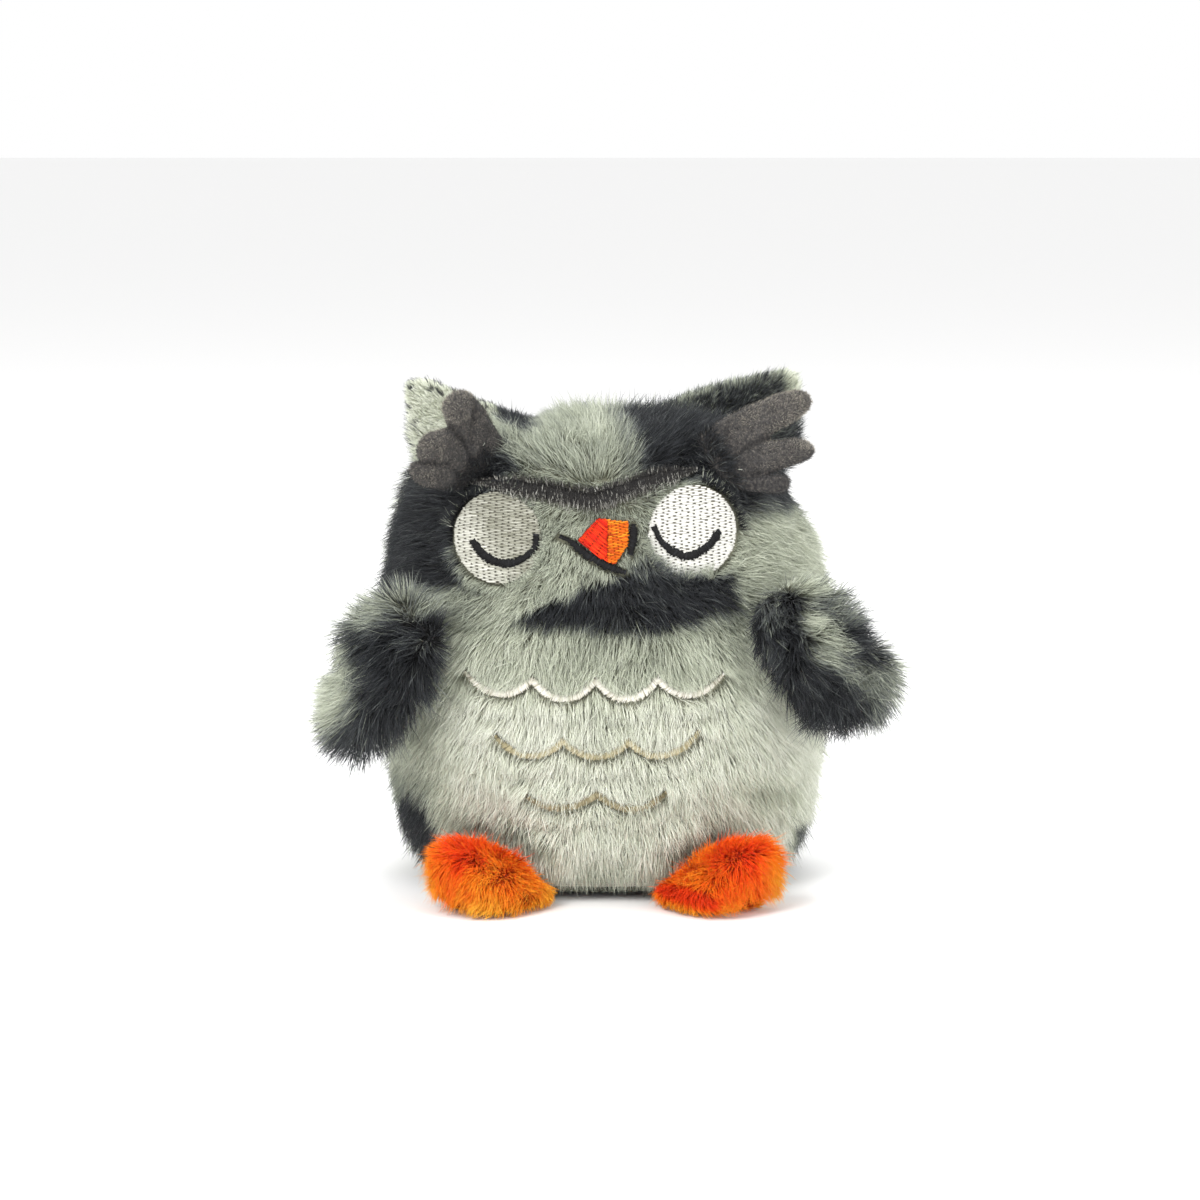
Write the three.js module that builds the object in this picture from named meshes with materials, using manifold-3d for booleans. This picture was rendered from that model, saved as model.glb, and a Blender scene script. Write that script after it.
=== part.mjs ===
// A sewn and stuffed plush owl, sitting. Millimetres, +Z up. The owl faces -Y and
// its own left side is +X. The origin is the middle of the flat base it rests on.
import * as THREE from "three";
import { mergeVertices } from "three/addons/utils/BufferGeometryUtils.js";
import Module from "manifold-3d";

const wasm = await Module();
wasm.setup();

// ---- driving dimensions ---------------------------------------------------

const WALL = 5.0; // fabric backing with its pile
const GAP = 0.3; // clearance at a seam and between sealed pieces
const SECTION = 2.3; // exponent of the body's rounded horizontal sections
const ROUND = 32; // facets around the body
const BASE_TOP = 3.0; // thickness of the base panel
const POUCH_TOP = 24.0; // the pellet pouch fills the body up to here
const NECK = 70.0; // height of the neck seam
const NECK_GROOVE = 3.0; // depth of the pulled-in neck seam
const CHIN_ROLL = 1.2; // bulge of the stuffed face over the neck
const CROWN = 119.2; // top of the head

// height, half width, depth of the front half, depth of the back half
const PROFILE = [
  [0, 36.0, 30.0, 30.0],
  [1.5, 41.5, 34.8, 34.6],
  [4, 46.2, 38.8, 38.2],
  [8, 50.0, 42.0, 41.2],
  [14, 52.6, 44.6, 43.6],
  [20, 54.0, 46.1, 44.9],
  [30, 55.3, 47.7, 46.2],
  [45, 57.0, 48.4, 47.0],
  [58, 58.0, 47.6, 46.4],
  [70, 57.6, 45.8, 45.0],
  [80, 55.6, 44.4, 43.6],
  [93, 52.4, 42.4, 41.6],
  [100, 50.0, 40.2, 39.4],
  [105, 47.4, 37.4, 36.6],
  [110, 43.4, 33.2, 32.6],
  [114, 38.4, 28.4, 28.0],
  [116.6, 31.5, 22.6, 22.2],
  [118.3, 21.5, 15.2, 15.0],
  [118.9, 12.5, 8.8, 8.8],
];
// heights of the rings that the faceted body is made of
const RINGS = [0, 1.5, 4, 8, 14, 24, 37, 50, 61, 66.5, 70, 73, 78, 86, 94, 101, 107, 112, 115.8, 118, 118.9];
const INNER_RINGS = [8, 20, 36, 53, 70, 86, 98, 107, 113, 116.9, 118.9];

// side seams, seen from the side: [y, z] from the base up to the crown
const SIDE_SEAM = [[-22, 0], [-18, 8], [-7, 24], [-3, 45], [-3, NECK], [0, 95], [0, 130]];

// brow seam, seen from the front: [x, z] from the owl's right to its left
const BROW_SEAM = [[-64, 107], [-47, 106.4], [-32.9, 103.9], [-22.3, 103.5], [-12.5, 101.9], [-3, 100.1], [2.8, 101.7], [12.5, 104.6], [22.1, 106.7], [34, 108.4], [47, 109.2], [64, 109.6]];

// embroidery: depth under the pile's surface, thickness of the stitched pad
const STITCH = 1.0;
const POCKET = 0.35;
const EYE = { radius: 11.1, depth: 1.5, right: [-26.0, 90.4], left: [21.4, 92.1] };
const LID = { width: 2.0, thick: 0.7, right: [[-32.3, 89.6], [-29.3, 86.2], [-25.1, 84.5], [-20.5, 85.4], [-16.9, 88.6], [-16.6, 91.6]], left: [[11.9, 93.6], [14.4, 89.4], [19.5, 86.4], [24.6, 88.1], [28.1, 92.0]] };
const BEAK_DEPTH = 1.2;
const BEAK_RIGHT = [[-6.4, 90.7], [-1.6, 95.7], [0.6, 95.4], [0.6, 86.0]];
const BEAK_LEFT = [[0.95, 95.4], [5.9, 94.7], [5.4, 89.2], [2.3, 85.2], [0.95, 85.75]];
const MOUTH = { width: 1.6, right: [[-11.2, 91.0], [-8.9, 90.2], [-7.0, 88.6], [-4.6, 86.7], [-1.2, 84.6], [2.4, 83.1], [5.0, 82.5]], left: [[7.6, 94.2], [7.4, 90.6], [6.9, 87.2]] };
const BROW_STITCH = { width: 3.8, depth: 1.2, line: [[-33.6, 103.8], [-22.3, 102.9], [-12.5, 101.6], [-3, 100.1], [2.8, 101.7], [12.5, 104.6], [22.6, 106.8]] };
const SCALLOP = { width: 1.8, depth: 1.8 };
const SCALLOPS_TOP = [[-34.2, 58.0], [-25.4, 53.0], [-17.6, 56.9], [-9.6, 52.3], [-2.1, 56.9], [5.9, 52.3], [12.9, 57.1], [21.0, 53.0], [29.0, 57.7]];
const SCALLOPS_MIDDLE = [[-26.9, 42.8], [-17.6, 38.1], [-10.1, 42.0], [-1.8, 38.1], [5.9, 41.8], [13.7, 38.2], [23.2, 44.0]];
const SCALLOPS_BOTTOM = [[-18.9, 27.7], [-10.4, 25.2], [-1.8, 28.8], [6.0, 25.0], [15.0, 28.9]];

// ears: a front and a back panel, each EAR_LAYER thick, outlines seen from the front
const EAR_LAYER = 3.0;
const EAR_RIGHT = [[-50.9, 126.0], [-49.0, 126.9], [-44.5, 127.2], [-39.2, 125.7], [-34.4, 123.9], [-30.4, 122.4], [-26.8, 120.9], [-22.3, 119.6], [-18.5, 119.2], [-18.5, 112], [-44, 99], [-46.6, 105.3], [-47.7, 108], [-48.6, 112.5], [-49.6, 117], [-50.6, 121.5]];
const EAR_LEFT = [[18.5, 122.0], [22.5, 123.6], [30.4, 126.7], [40.7, 129.2], [45.6, 129.9], [48.6, 129.7], [50.0, 128.6], [49.8, 124.5], [48.9, 118], [48.2, 112], [47.4, 107.6], [46.4, 105.2], [43, 99], [18.5, 112]];

// felt tufts: both cut to one shape, stitched down along one edge. The outline is
// [along the stitched edge, outward]. low and high are the ends of that edge on the head,
// facing is square to the head there, fold is how far the sheet has flopped forward, and
// clears holds turns about the stitched edge at which the head still must not touch it
const FELT = 2.0;
const TUFT = [[13.9, 0.4], [14.6, 9.0], [14.2, 17.2], [12.9, 24.4], [10.9, 27.6], [7.7, 27.9], [5.4, 26.4], [5.2, 23.8], [4.9, 16.8], [2.6, 20.2], [-0.4, 22.7], [-2.5, 22.6], [-3.4, 20.5], [-1.9, 15.7], [-0.7, 12.6], [-2.3, 13.4], [-5.4, 14.3], [-6.7, 12.7], [-6.4, 10.4], [-1.6, 1.0], [0.2, 0.0]];
const TUFT_LEFT = { low: [31.3, -33.4, 103.4], high: [24.9, -27.7, 114.5], facing: [0.13, -0.85, 0.51], fold: 0, clears: [20, 40, 60] };
const TUFT_RIGHT = { low: [-36.4, -30.4, 101.9], high: [-27.6, -26.6, 111.4], facing: [-0.2, -0.84, 0.5], fold: 68, clears: [15, 30, 45, 60] };

// wings: inflated pads that follow the body's front corners
const WING_WALL = 3.0;
const WING_THICK = 8.0; // half thickness at the middle
const WING_REACH = { x: 38, y: -43.6, slope: 0.307, bend: 0.0107 };
const WING_RIGHT = { centre: [-53.5, 57.0], line: [[-57.3, 74.6], [-50.5, 78.2], [-44.6, 78.6], [-39.6, 75.6], [-36.8, 71.0], [-37.6, 64.5], [-40.0, 58.0], [-42.3, 51.7], [-46.5, 45.0], [-52.0, 39.4], [-56.5, 35.2], [-61.5, 33.0], [-66.0, 34.4], [-69.4, 38.4], [-69.8, 44.0], [-70.4, 49.5], [-68.4, 56.0], [-65.8, 63.0], [-62.2, 69.8]] };
const WING_LEFT = { centre: [54.0, 61.0], line: [[34.6, 76.4], [38.8, 80.8], [44.6, 82.2], [49.4, 81.0], [54.4, 77.4], [58.6, 73.4], [62.6, 68.0], [67.4, 63.6], [72.0, 58.6], [73.8, 53.4], [73.0, 47.6], [69.4, 44.0], [64.0, 42.4], [58.4, 40.4], [52.6, 42.2], [47.4, 46.0], [43.0, 51.0], [39.0, 57.4], [35.6, 64.0], [33.4, 70.6]] };

// feet: flat-soled pads, toes out
const FOOT = { halfLength: 17.2, halfWidth: 13.8, height: 17.2, x: 27.6, y: -42.4, toeOut: 38, rise: 0.1, sole: 3.0, wall: 3.2, heel: -39.6, clearance: 0.9 };

// ---- surface colours ------------------------------------------------------

const LIGHT_PILE = [0xb9bdae, 0.95];
const DARK_PILE = [0x4c5157, 0.95];
const ORANGE_PILE = [0xf0761a, 0.95];
const FELT_GREY = [0x5f5552, 1.0];
const FIBRE = [0xe9e7e0, 1.0];
const CLOTH = [0xcfc9bd, 0.9];

// ---- solids ---------------------------------------------------------------

function solid(geometry) {
  for (const name of Object.keys(geometry.attributes)) {
    if (name !== "position") geometry.deleteAttribute(name);
  }
  const merged = mergeVertices(geometry, 1e-4);
  return new wasm.Manifold(
    new wasm.Mesh({
      numProp: 3,
      vertProperties: new Float32Array(merged.attributes.position.array),
      triVerts: new Uint32Array(merged.index.array),
    }),
  );
}

function geometryOf(manifold) {
  const mesh = manifold.getMesh();
  const count = mesh.vertProperties.length / mesh.numProp;
  const positions = new Float32Array(count * 3);
  for (let i = 0; i < count; i++) {
    for (let k = 0; k < 3; k++) positions[3 * i + k] = mesh.vertProperties[mesh.numProp * i + k];
  }
  const geometry = new THREE.BufferGeometry();
  geometry.setAttribute("position", new THREE.BufferAttribute(positions, 3));
  geometry.setIndex(new THREE.BufferAttribute(new Uint32Array(mesh.triVerts), 1));
  geometry.computeVertexNormals();
  return geometry;
}

const group = new THREE.Group();
function add(name, manifold, [color, roughness]) {
  const mesh = new THREE.Mesh(
    geometryOf(manifold),
    new THREE.MeshStandardMaterial({ color, roughness, metalness: 0 }),
  );
  mesh.name = name;
  group.add(mesh);
}

// ---- body surface ---------------------------------------------------------

function section(z) {
  const last = PROFILE.length - 1;
  let i = 0;
  while (i < last - 1 && z > PROFILE[i + 1][0]) i++;
  const p0 = PROFILE[Math.max(i - 1, 0)];
  const p1 = PROFILE[i];
  const p2 = PROFILE[i + 1];
  const p3 = PROFILE[Math.min(i + 2, last)];
  const t = Math.min(Math.max((z - p1[0]) / (p2[0] - p1[0]), 0), 1);
  const out = [];
  for (let k = 1; k < 4; k++) {
    const m1 = i === 0 ? p2[k] - p1[k] : ((p2[k] - p0[k]) / (p2[0] - p0[0])) * (p2[0] - p1[0]);
    const m2 = i + 2 > last ? p2[k] - p1[k] : ((p3[k] - p1[k]) / (p3[0] - p1[0])) * (p2[0] - p1[0]);
    const t2 = t * t;
    const t3 = t2 * t;
    out.push((2 * t3 - 3 * t2 + 1) * p1[k] + (t3 - 2 * t2 + t) * m1 + (-2 * t3 + 3 * t2) * p2[k] + (t3 - t2) * m2);
  }
  return out;
}

function plainPoint(z, angle) {
  // angle 0 faces the front, 90 degrees is the owl's left
  const [half, front, back] = section(z);
  const s = Math.sin(angle);
  const c = Math.cos(angle);
  const power = 2 / SECTION;
  const x = half * Math.sign(s) * Math.abs(s) ** power;
  const y = -(c > 0 ? front : back) * Math.sign(c) * Math.abs(c) ** power;
  return new THREE.Vector3(x, y, z);
}

function bodyPoint(z, angle, inward) {
  const point = plainPoint(z, angle);
  const dz = 0.25;
  const low = Math.max(z - dz, 0);
  const high = Math.min(z + dz, 118.9);
  const up = plainPoint(high, angle).sub(plainPoint(low, angle));
  const round = plainPoint(z, angle + 0.02).sub(plainPoint(z, angle - 0.02));
  const normal = round.cross(up).normalize();
  let shift = -inward;
  if (inward <= 0) {
    shift -= NECK_GROOVE * Math.exp(-(((z - NECK) / 3.6) ** 2));
    shift += CHIN_ROLL * Math.max(Math.cos(angle), 0) * Math.exp(-(((z - 76.5) / 3.5) ** 2));
  }
  return point.addScaledVector(normal, shift);
}

function frontY(x, z) {
  const [half, front] = section(z);
  const t = Math.max(1 - (Math.abs(x) / half) ** SECTION, 0.02);
  return -front * t ** (1 / SECTION);
}

// a turned solid of unit rings, each ring then moved onto the body's section
function bodySolid(inward, rings, floor) {
  const profile = [new THREE.Vector2(0, -1)];
  rings.forEach((z, i) => profile.push(new THREE.Vector2(1, i)));
  profile.push(new THREE.Vector2(0, rings.length));
  const lathe = new THREE.LatheGeometry(profile, ROUND);
  const position = lathe.attributes.position;
  for (let i = 0; i < position.count; i++) {
    const row = Math.round(position.getY(i));
    const angle = Math.atan2(position.getX(i), position.getZ(i));
    let p;
    if (row < 0) p = new THREE.Vector3(0, 0, floor);
    else if (row >= rings.length) p = new THREE.Vector3(0, 0, CROWN - inward);
    else if (row === 0 && inward > 0) {
      p = bodyPoint(rings[0], angle, inward);
      p.set(p.x * 0.94, p.y * 0.94, floor);
    } else {
      p = bodyPoint(rings[row], angle, inward);
      if (row === 0) p.z = floor;
    }
    position.setXYZ(i, p.x, p.y, p.z);
  }
  return outward(lathe);
}

// the ring order of a turned solid can leave its faces pointing in
function outward(geometry) {
  for (const name of Object.keys(geometry.attributes)) {
    if (name !== "position") geometry.deleteAttribute(name);
  }
  const merged = mergeVertices(geometry, 1e-4);
  const index = merged.index.array;
  const p = merged.attributes.position;
  const a = new THREE.Vector3();
  const b = new THREE.Vector3();
  const c = new THREE.Vector3();
  const kept = [];
  let volume = 0;
  for (let i = 0; i < index.length; i += 3) {
    if (index[i] === index[i + 1] || index[i + 1] === index[i + 2] || index[i] === index[i + 2]) continue;
    a.fromBufferAttribute(p, index[i]);
    b.fromBufferAttribute(p, index[i + 1]);
    c.fromBufferAttribute(p, index[i + 2]);
    volume += a.dot(b.cross(c));
    kept.push(index[i], index[i + 1], index[i + 2]);
  }
  if (volume < 0) for (let i = 0; i < kept.length; i += 3) [kept[i], kept[i + 1]] = [kept[i + 1], kept[i]];
  merged.setIndex(kept);
  return solid(merged);
}

// ---- cutting shapes -------------------------------------------------------

function shapeOf(points) {
  return new THREE.Shape(points.map(([u, v]) => new THREE.Vector2(u, v)));
}

// outline [y, z] swept along X
function prismX(points, x0, x1) {
  const g = new THREE.ExtrudeGeometry(shapeOf(points), { depth: x1 - x0, bevelEnabled: false, steps: 1 });
  g.applyMatrix4(new THREE.Matrix4().makeBasis(new THREE.Vector3(0, 1, 0), new THREE.Vector3(0, 0, 1), new THREE.Vector3(1, 0, 0)));
  g.translate(x0, 0, 0);
  return solid(g);
}

// outline [x, z] swept along Y
function prismY(points, y0, y1) {
  const g = new THREE.ExtrudeGeometry(shapeOf(points), { depth: y1 - y0, bevelEnabled: false, steps: 1 });
  g.rotateX(Math.PI / 2);
  g.translate(0, y1, 0);
  return solid(g);
}

// outline [x, y] swept along Z
function prismZ(points, z0, z1) {
  const g = new THREE.ExtrudeGeometry(shapeOf(points), { depth: z1 - z0, bevelEnabled: false, steps: 1 });
  g.translate(0, 0, z0);
  return solid(g);
}

function slab(x0, x1, y0, y1, z0, z1) {
  const g = new THREE.BoxGeometry(x1 - x0, y1 - y0, z1 - z0);
  g.translate((x0 + x1) / 2, (y0 + y1) / 2, (z0 + z1) / 2);
  return solid(g);
}

function lerpLine(line, at, key, value) {
  for (let i = 0; i < line.length - 1; i++) {
    const [a, b] = [line[i], line[i + 1]];
    if (at >= a[key] && at <= b[key]) {
      return a[value] + ((b[value] - a[value]) * (at - a[key])) / (b[key] - a[key]);
    }
  }
  return line[line.length - 1][value];
}

function seamSide(z0, z1, front) {
  const half = GAP / 2;
  const line = [[lerpLine(SIDE_SEAM, z0, 1, 0), z0]];
  for (const [y, z] of SIDE_SEAM) if (z > z0 + 0.01 && z < z1 - 0.01) line.push([y, z]);
  line.push([lerpLine(SIDE_SEAM, z1, 1, 0), z1]);
  const far = front ? -100 : 100;
  const moved = line.map(([y, z]) => [y + (front ? -half : half), z]);
  return prismX([[far, z0], ...moved, [far, z1]], -100, 100);
}

// ---- stitched pads, draped on the front of the body -----------------------

// y = 0 of the flat pad is its outer face, and larger y lies deeper
function drape(geometry, depth) {
  const position = geometry.attributes.position;
  for (let i = 0; i < position.count; i++) {
    const x = position.getX(i);
    const z = position.getZ(i);
    position.setY(i, frontY(x, z) + depth + position.getY(i));
  }
  return solid(geometry);
}

function offsetOutline(points, distance) {
  // outline grown by distance, with mitred corners; points run either way round
  let area = 0;
  for (let i = 0; i < points.length; i++) {
    const [a, b] = [points[i], points[(i + 1) % points.length]];
    area += a[0] * b[1] - b[0] * a[1];
  }
  const sign = area > 0 ? 1 : -1;
  return points.map((p, i) => {
    const a = points[(i + points.length - 1) % points.length];
    const b = points[(i + 1) % points.length];
    const d1 = new THREE.Vector2(p[0] - a[0], p[1] - a[1]).normalize();
    const d2 = new THREE.Vector2(b[0] - p[0], b[1] - p[1]).normalize();
    const n1 = new THREE.Vector2(d1.y * sign, -d1.x * sign);
    const n2 = new THREE.Vector2(d2.y * sign, -d2.x * sign);
    const m = n1.clone().add(n2).normalize();
    const reach = distance / Math.max(m.dot(n1), 0.5);
    return [p[0] + m.x * reach, p[1] + m.y * reach];
  });
}

function paddedOutline(points, depth, thick) {
  const g = new THREE.ExtrudeGeometry(shapeOf(points), { depth: thick, bevelEnabled: false, steps: 1 });
  g.rotateX(Math.PI / 2);
  g.translate(0, thick, 0);
  return drape(g, depth);
}

function ribbonOutline(line, width, samples, extra) {
  const curve = new THREE.SplineCurve(line.map(([x, z]) => new THREE.Vector2(x, z)));
  const left = [];
  const right = [];
  for (let i = 0; i <= samples; i++) {
    const p = curve.getPoint(i / samples);
    const t = curve.getTangent(i / samples);
    const end = i === 0 ? -extra : i === samples ? extra : 0;
    const x = p.x + t.x * end;
    const z = p.y + t.y * end;
    left.push([x - (t.y * width) / 2, z + (t.x * width) / 2]);
    right.push([x + (t.y * width) / 2, z - (t.x * width) / 2]);
  }
  return [...right, ...left.reverse()];
}

function ribbon(line, width, samples, depth, thick) {
  return {
    pad: paddedOutline(ribbonOutline(line, width, samples, 0), depth, thick),
    pocket: paddedOutline(ribbonOutline(line, width + 2 * POCKET, samples, POCKET), depth - 8, thick + 8 + POCKET),
  };
}

function patch(points, depth, thick) {
  return {
    pad: paddedOutline(points, depth, thick),
    pocket: paddedOutline(offsetOutline(points, POCKET), depth - 8, thick + 8 + POCKET),
  };
}

function disc([x, z], radius, depth, thick) {
  const round = (r, t) => {
    const g = new THREE.CylinderGeometry(r, r, t, 24, 1);
    g.translate(x, t / 2, 0);
    const position = g.attributes.position;
    for (let i = 0; i < position.count; i++) position.setZ(i, position.getZ(i) + z);
    return g;
  };
  return {
    pad: drape(round(radius, thick), depth),
    pocket: drape(round(radius + POCKET, thick + 8 + POCKET), depth - 8),
  };
}

// a row of hanging arcs, joined at their points
function scallops(line, width, depth, thick) {
  const row = (w, extra, d, t) => {
    let joined = null;
    for (let i = 0; i + 2 < line.length; i += 2) {
      const [a, m, b] = [line[i], line[i + 1], line[i + 2]];
      const arc = [];
      for (let k = 0; k <= 6; k++) {
        const f = k / 6;
        const chord = a[1] + (b[1] - a[1]) * f;
        const sagAt = (m[0] - a[0]) / (b[0] - a[0]);
        const sag = a[1] + (b[1] - a[1]) * sagAt - m[1];
        arc.push([a[0] + (b[0] - a[0]) * f, chord - sag * (1 - Math.abs(2 * f - 1) ** 2.2)]);
      }
      const piece = paddedOutline(ribbonOutline(arc, w, 6, extra), d, t);
      joined = joined ? joined.add(piece) : piece;
    }
    return joined;
  };
  return { pad: row(width, 0.4, depth, thick), pocket: row(width + 2 * POCKET, 0.4 + POCKET, depth - 8, thick + 8 + POCKET) };
}

// ---- body and head --------------------------------------------------------

const outer = bodySolid(0, RINGS, 0);
const grown = bodySolid(-0.45, RINGS, -0.45);
const inner = bodySolid(WALL, INNER_RINGS, BASE_TOP + GAP);
const filling = bodySolid(WALL + GAP, INNER_RINGS, BASE_TOP + GAP);
const shell = outer.intersect(slab(-100, 100, -100, 100, BASE_TOP + GAP, 140)).subtract(inner);

const lowZ = BASE_TOP;
const neckLow = NECK - GAP / 2;
const neckHigh = NECK + GAP / 2;

const bodyFront = seamSide(lowZ, neckLow, true);
const bodyBack = seamSide(lowZ, neckLow, false);
const headFront = seamSide(neckHigh, 130, true);
const headBack = seamSide(neckHigh, 130, false);
const rightHalf = slab(-100, -GAP / 2, -100, 100, -5, 140);
const leftHalf = slab(GAP / 2, 100, -100, 100, -5, 140);
const underBrow = prismY([[-64, 60], ...BROW_SEAM.map(([x, z]) => [x, z - GAP / 2]), [64, 60]], -100, 20);
const overBrow = prismY([[-64, 140], ...BROW_SEAM.map(([x, z]) => [x, z + GAP / 2]), [64, 140]], -100, 20);

const rows = {
  scallop_row_top: scallops(SCALLOPS_TOP, SCALLOP.width, SCALLOP.depth, STITCH),
  scallop_row_middle: scallops(SCALLOPS_MIDDLE, SCALLOP.width, SCALLOP.depth, STITCH),
  scallop_row_bottom: scallops(SCALLOPS_BOTTOM, SCALLOP.width, SCALLOP.depth, STITCH),
};
const eyes = {
  right_eye_patch: disc(EYE.right, EYE.radius, EYE.depth, STITCH),
  left_eye_patch: disc(EYE.left, EYE.radius, EYE.depth, STITCH),
};
const lids = {
  right_eyelid_stitch: ribbon(LID.right, LID.width, 12, EYE.depth - GAP - LID.thick, LID.thick),
  left_eyelid_stitch: ribbon(LID.left, LID.width, 12, EYE.depth - GAP - LID.thick, LID.thick),
};
const beak = {
  beak_right_half: patch(BEAK_RIGHT, BEAK_DEPTH, STITCH),
  beak_left_half: patch(BEAK_LEFT, BEAK_DEPTH, STITCH),
};
const mouth = {
  mouth_right_stitch: ribbon(MOUTH.right, MOUTH.width, 10, BEAK_DEPTH, STITCH),
  mouth_left_stitch: ribbon(MOUTH.left, MOUTH.width, 5, BEAK_DEPTH, STITCH),
};
const brow = ribbon(BROW_STITCH.line, BROW_STITCH.width, 16, BROW_STITCH.depth, STITCH);

const base = outer.intersect(slab(-100, 100, -100, 100, -1, BASE_TOP));
let belly = shell.intersect(bodyFront);
for (const r of Object.values(rows)) belly = belly.subtract(r.pocket);
const backRight = shell.intersect(bodyBack).intersect(rightHalf);
const backLeft = shell.intersect(bodyBack).intersect(leftHalf);
let face = shell.intersect(headFront).intersect(underBrow);
let forehead = shell.intersect(headFront).intersect(overBrow);
for (const p of [...Object.values(eyes), ...Object.values(lids), ...Object.values(beak), ...Object.values(mouth), brow]) {
  face = face.subtract(p.pocket);
}
forehead = forehead.subtract(brow.pocket);
for (const p of [...Object.values(eyes), ...Object.values(lids)]) forehead = forehead.subtract(p.pocket);
const headRight = shell.intersect(headBack).intersect(rightHalf);
const headLeft = shell.intersect(headBack).intersect(leftHalf);

add("base_panel", base, DARK_PILE);
add("belly_panel", belly, LIGHT_PILE);
add("right_back_body_panel", backRight, DARK_PILE);
add("left_back_body_panel", backLeft, LIGHT_PILE);
add("pellet_pouch", filling.intersect(slab(-100, 100, -100, 100, 0, POUCH_TOP)), CLOTH);
add("body_stuffing", filling.intersect(slab(-100, 100, -100, 100, POUCH_TOP + GAP, neckLow)), FIBRE);
add("scallop_row_top", rows.scallop_row_top.pad, [0xd7d2c3, 0.5]);
add("scallop_row_middle", rows.scallop_row_middle.pad, [0xa59b87, 0.5]);
add("scallop_row_bottom", rows.scallop_row_bottom.pad, [0x8c826e, 0.5]);

add("face_panel", face, LIGHT_PILE);
add("forehead_panel", forehead, LIGHT_PILE);
add("right_back_head_panel", headRight, DARK_PILE);
add("left_back_head_panel", headLeft, LIGHT_PILE);
add("head_stuffing", filling.intersect(slab(-100, 100, -100, 100, neckHigh, 140)), FIBRE);
add("right_eye_patch", eyes.right_eye_patch.pad.subtract(brow.pocket), [0xdedace, 0.6]);
add("left_eye_patch", eyes.left_eye_patch.pad.subtract(brow.pocket), [0xebe8de, 0.6]);
add("right_eyelid_stitch", lids.right_eyelid_stitch.pad, [0x161616, 0.5]);
add("left_eyelid_stitch", lids.left_eyelid_stitch.pad, [0x161616, 0.5]);
add("beak_right_half", beak.beak_right_half.pad, [0xf4471a, 0.45]);
add("beak_left_half", beak.beak_left_half.pad, [0xf98020, 0.45]);
add("mouth_right_stitch", mouth.mouth_right_stitch.pad, [0x161616, 0.5]);
add("mouth_left_stitch", mouth.mouth_left_stitch.pad, [0x161616, 0.5]);
add("brow_stitch", brow.pad, [0x5a5550, 0.45]);

// ---- wings ----------------------------------------------------------------

function wingPlane(x) {
  const t = Math.abs(x) - WING_REACH.x;
  return WING_REACH.y + WING_REACH.slope * t + WING_REACH.bend * t * t;
}

// distance from the centre to a star-shaped outline, in a given direction
function reachOf(outline, centre, direction) {
  const d = new THREE.Vector2(Math.cos(direction), Math.sin(direction));
  let best = 0;
  for (let i = 0; i < outline.length; i++) {
    const a = outline[i];
    const b = outline[(i + 1) % outline.length];
    const ax = a[0] - centre[0];
    const ay = a[1] - centre[1];
    const ex = b[0] - a[0];
    const ey = b[1] - a[1];
    const det = d.x * -ey + d.y * ex;
    if (Math.abs(det) < 1e-9) continue;
    const r = (ax * -ey + ay * ex) / det;
    const s = (d.x * ay - d.y * ax) / det;
    if (s >= -1e-9 && s <= 1 + 1e-9 && r > best) best = r;
  }
  return best;
}

// a pad blown up from its outline, curved round the body
function wingSolid({ centre, line }, inward) {
  const g = new THREE.SphereGeometry(1, 16, 8);
  const position = g.attributes.position;
  for (let i = 0; i < position.count; i++) {
    const u = position.getX(i);
    const v = position.getZ(i);
    const w = position.getY(i);
    const flat = Math.min(Math.hypot(u, v), 1);
    const direction = Math.atan2(v, u);
    const reach = Math.max(reachOf(line, centre, direction) - inward, 1) * flat;
    const x = centre[0] + reach * Math.cos(direction);
    const z = centre[1] + reach * Math.sin(direction);
    const thick = (WING_THICK - inward) * Math.sign(w) * Math.abs(w) ** 0.85;
    const slope = (wingPlane(x + 0.1) - wingPlane(x - 0.1)) / 0.2;
    const n = new THREE.Vector3(slope, -1, 0).normalize();
    const side = thick > 0 ? 1 : 0.55;
    position.setXYZ(i, x + n.x * thick * side, wingPlane(x) + n.y * thick * side, z);
  }
  return outward(g);
}

function wingCutter(sign, front) {
  // one side of the wing's curved mid-surface
  const line = [];
  for (let x = 20; x <= 90; x += 3.5) line.push([sign * x, wingPlane(x) + (front ? -GAP / 2 : GAP / 2)]);
  const far = front ? -120 : 40;
  return prismZ([...line, [sign * 90, far], [sign * 20, far]], 0, 120);
}

for (const [side, sign, wing] of [["right", -1, WING_RIGHT], ["left", 1, WING_LEFT]]) {
  const whole = wingSolid(wing, 0).subtract(grown);
  const hollow = wingSolid(wing, WING_WALL);
  const cover = whole.subtract(hollow);
  add(`${side}_wing_outer_panel`, cover.intersect(wingCutter(sign, true)), DARK_PILE);
  add(`${side}_wing_inner_panel`, cover.intersect(wingCutter(sign, false)), DARK_PILE);
  add(`${side}_wing_stuffing`, wingSolid(wing, WING_WALL + GAP), FIBRE);
}

// ---- feet -----------------------------------------------------------------

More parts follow.
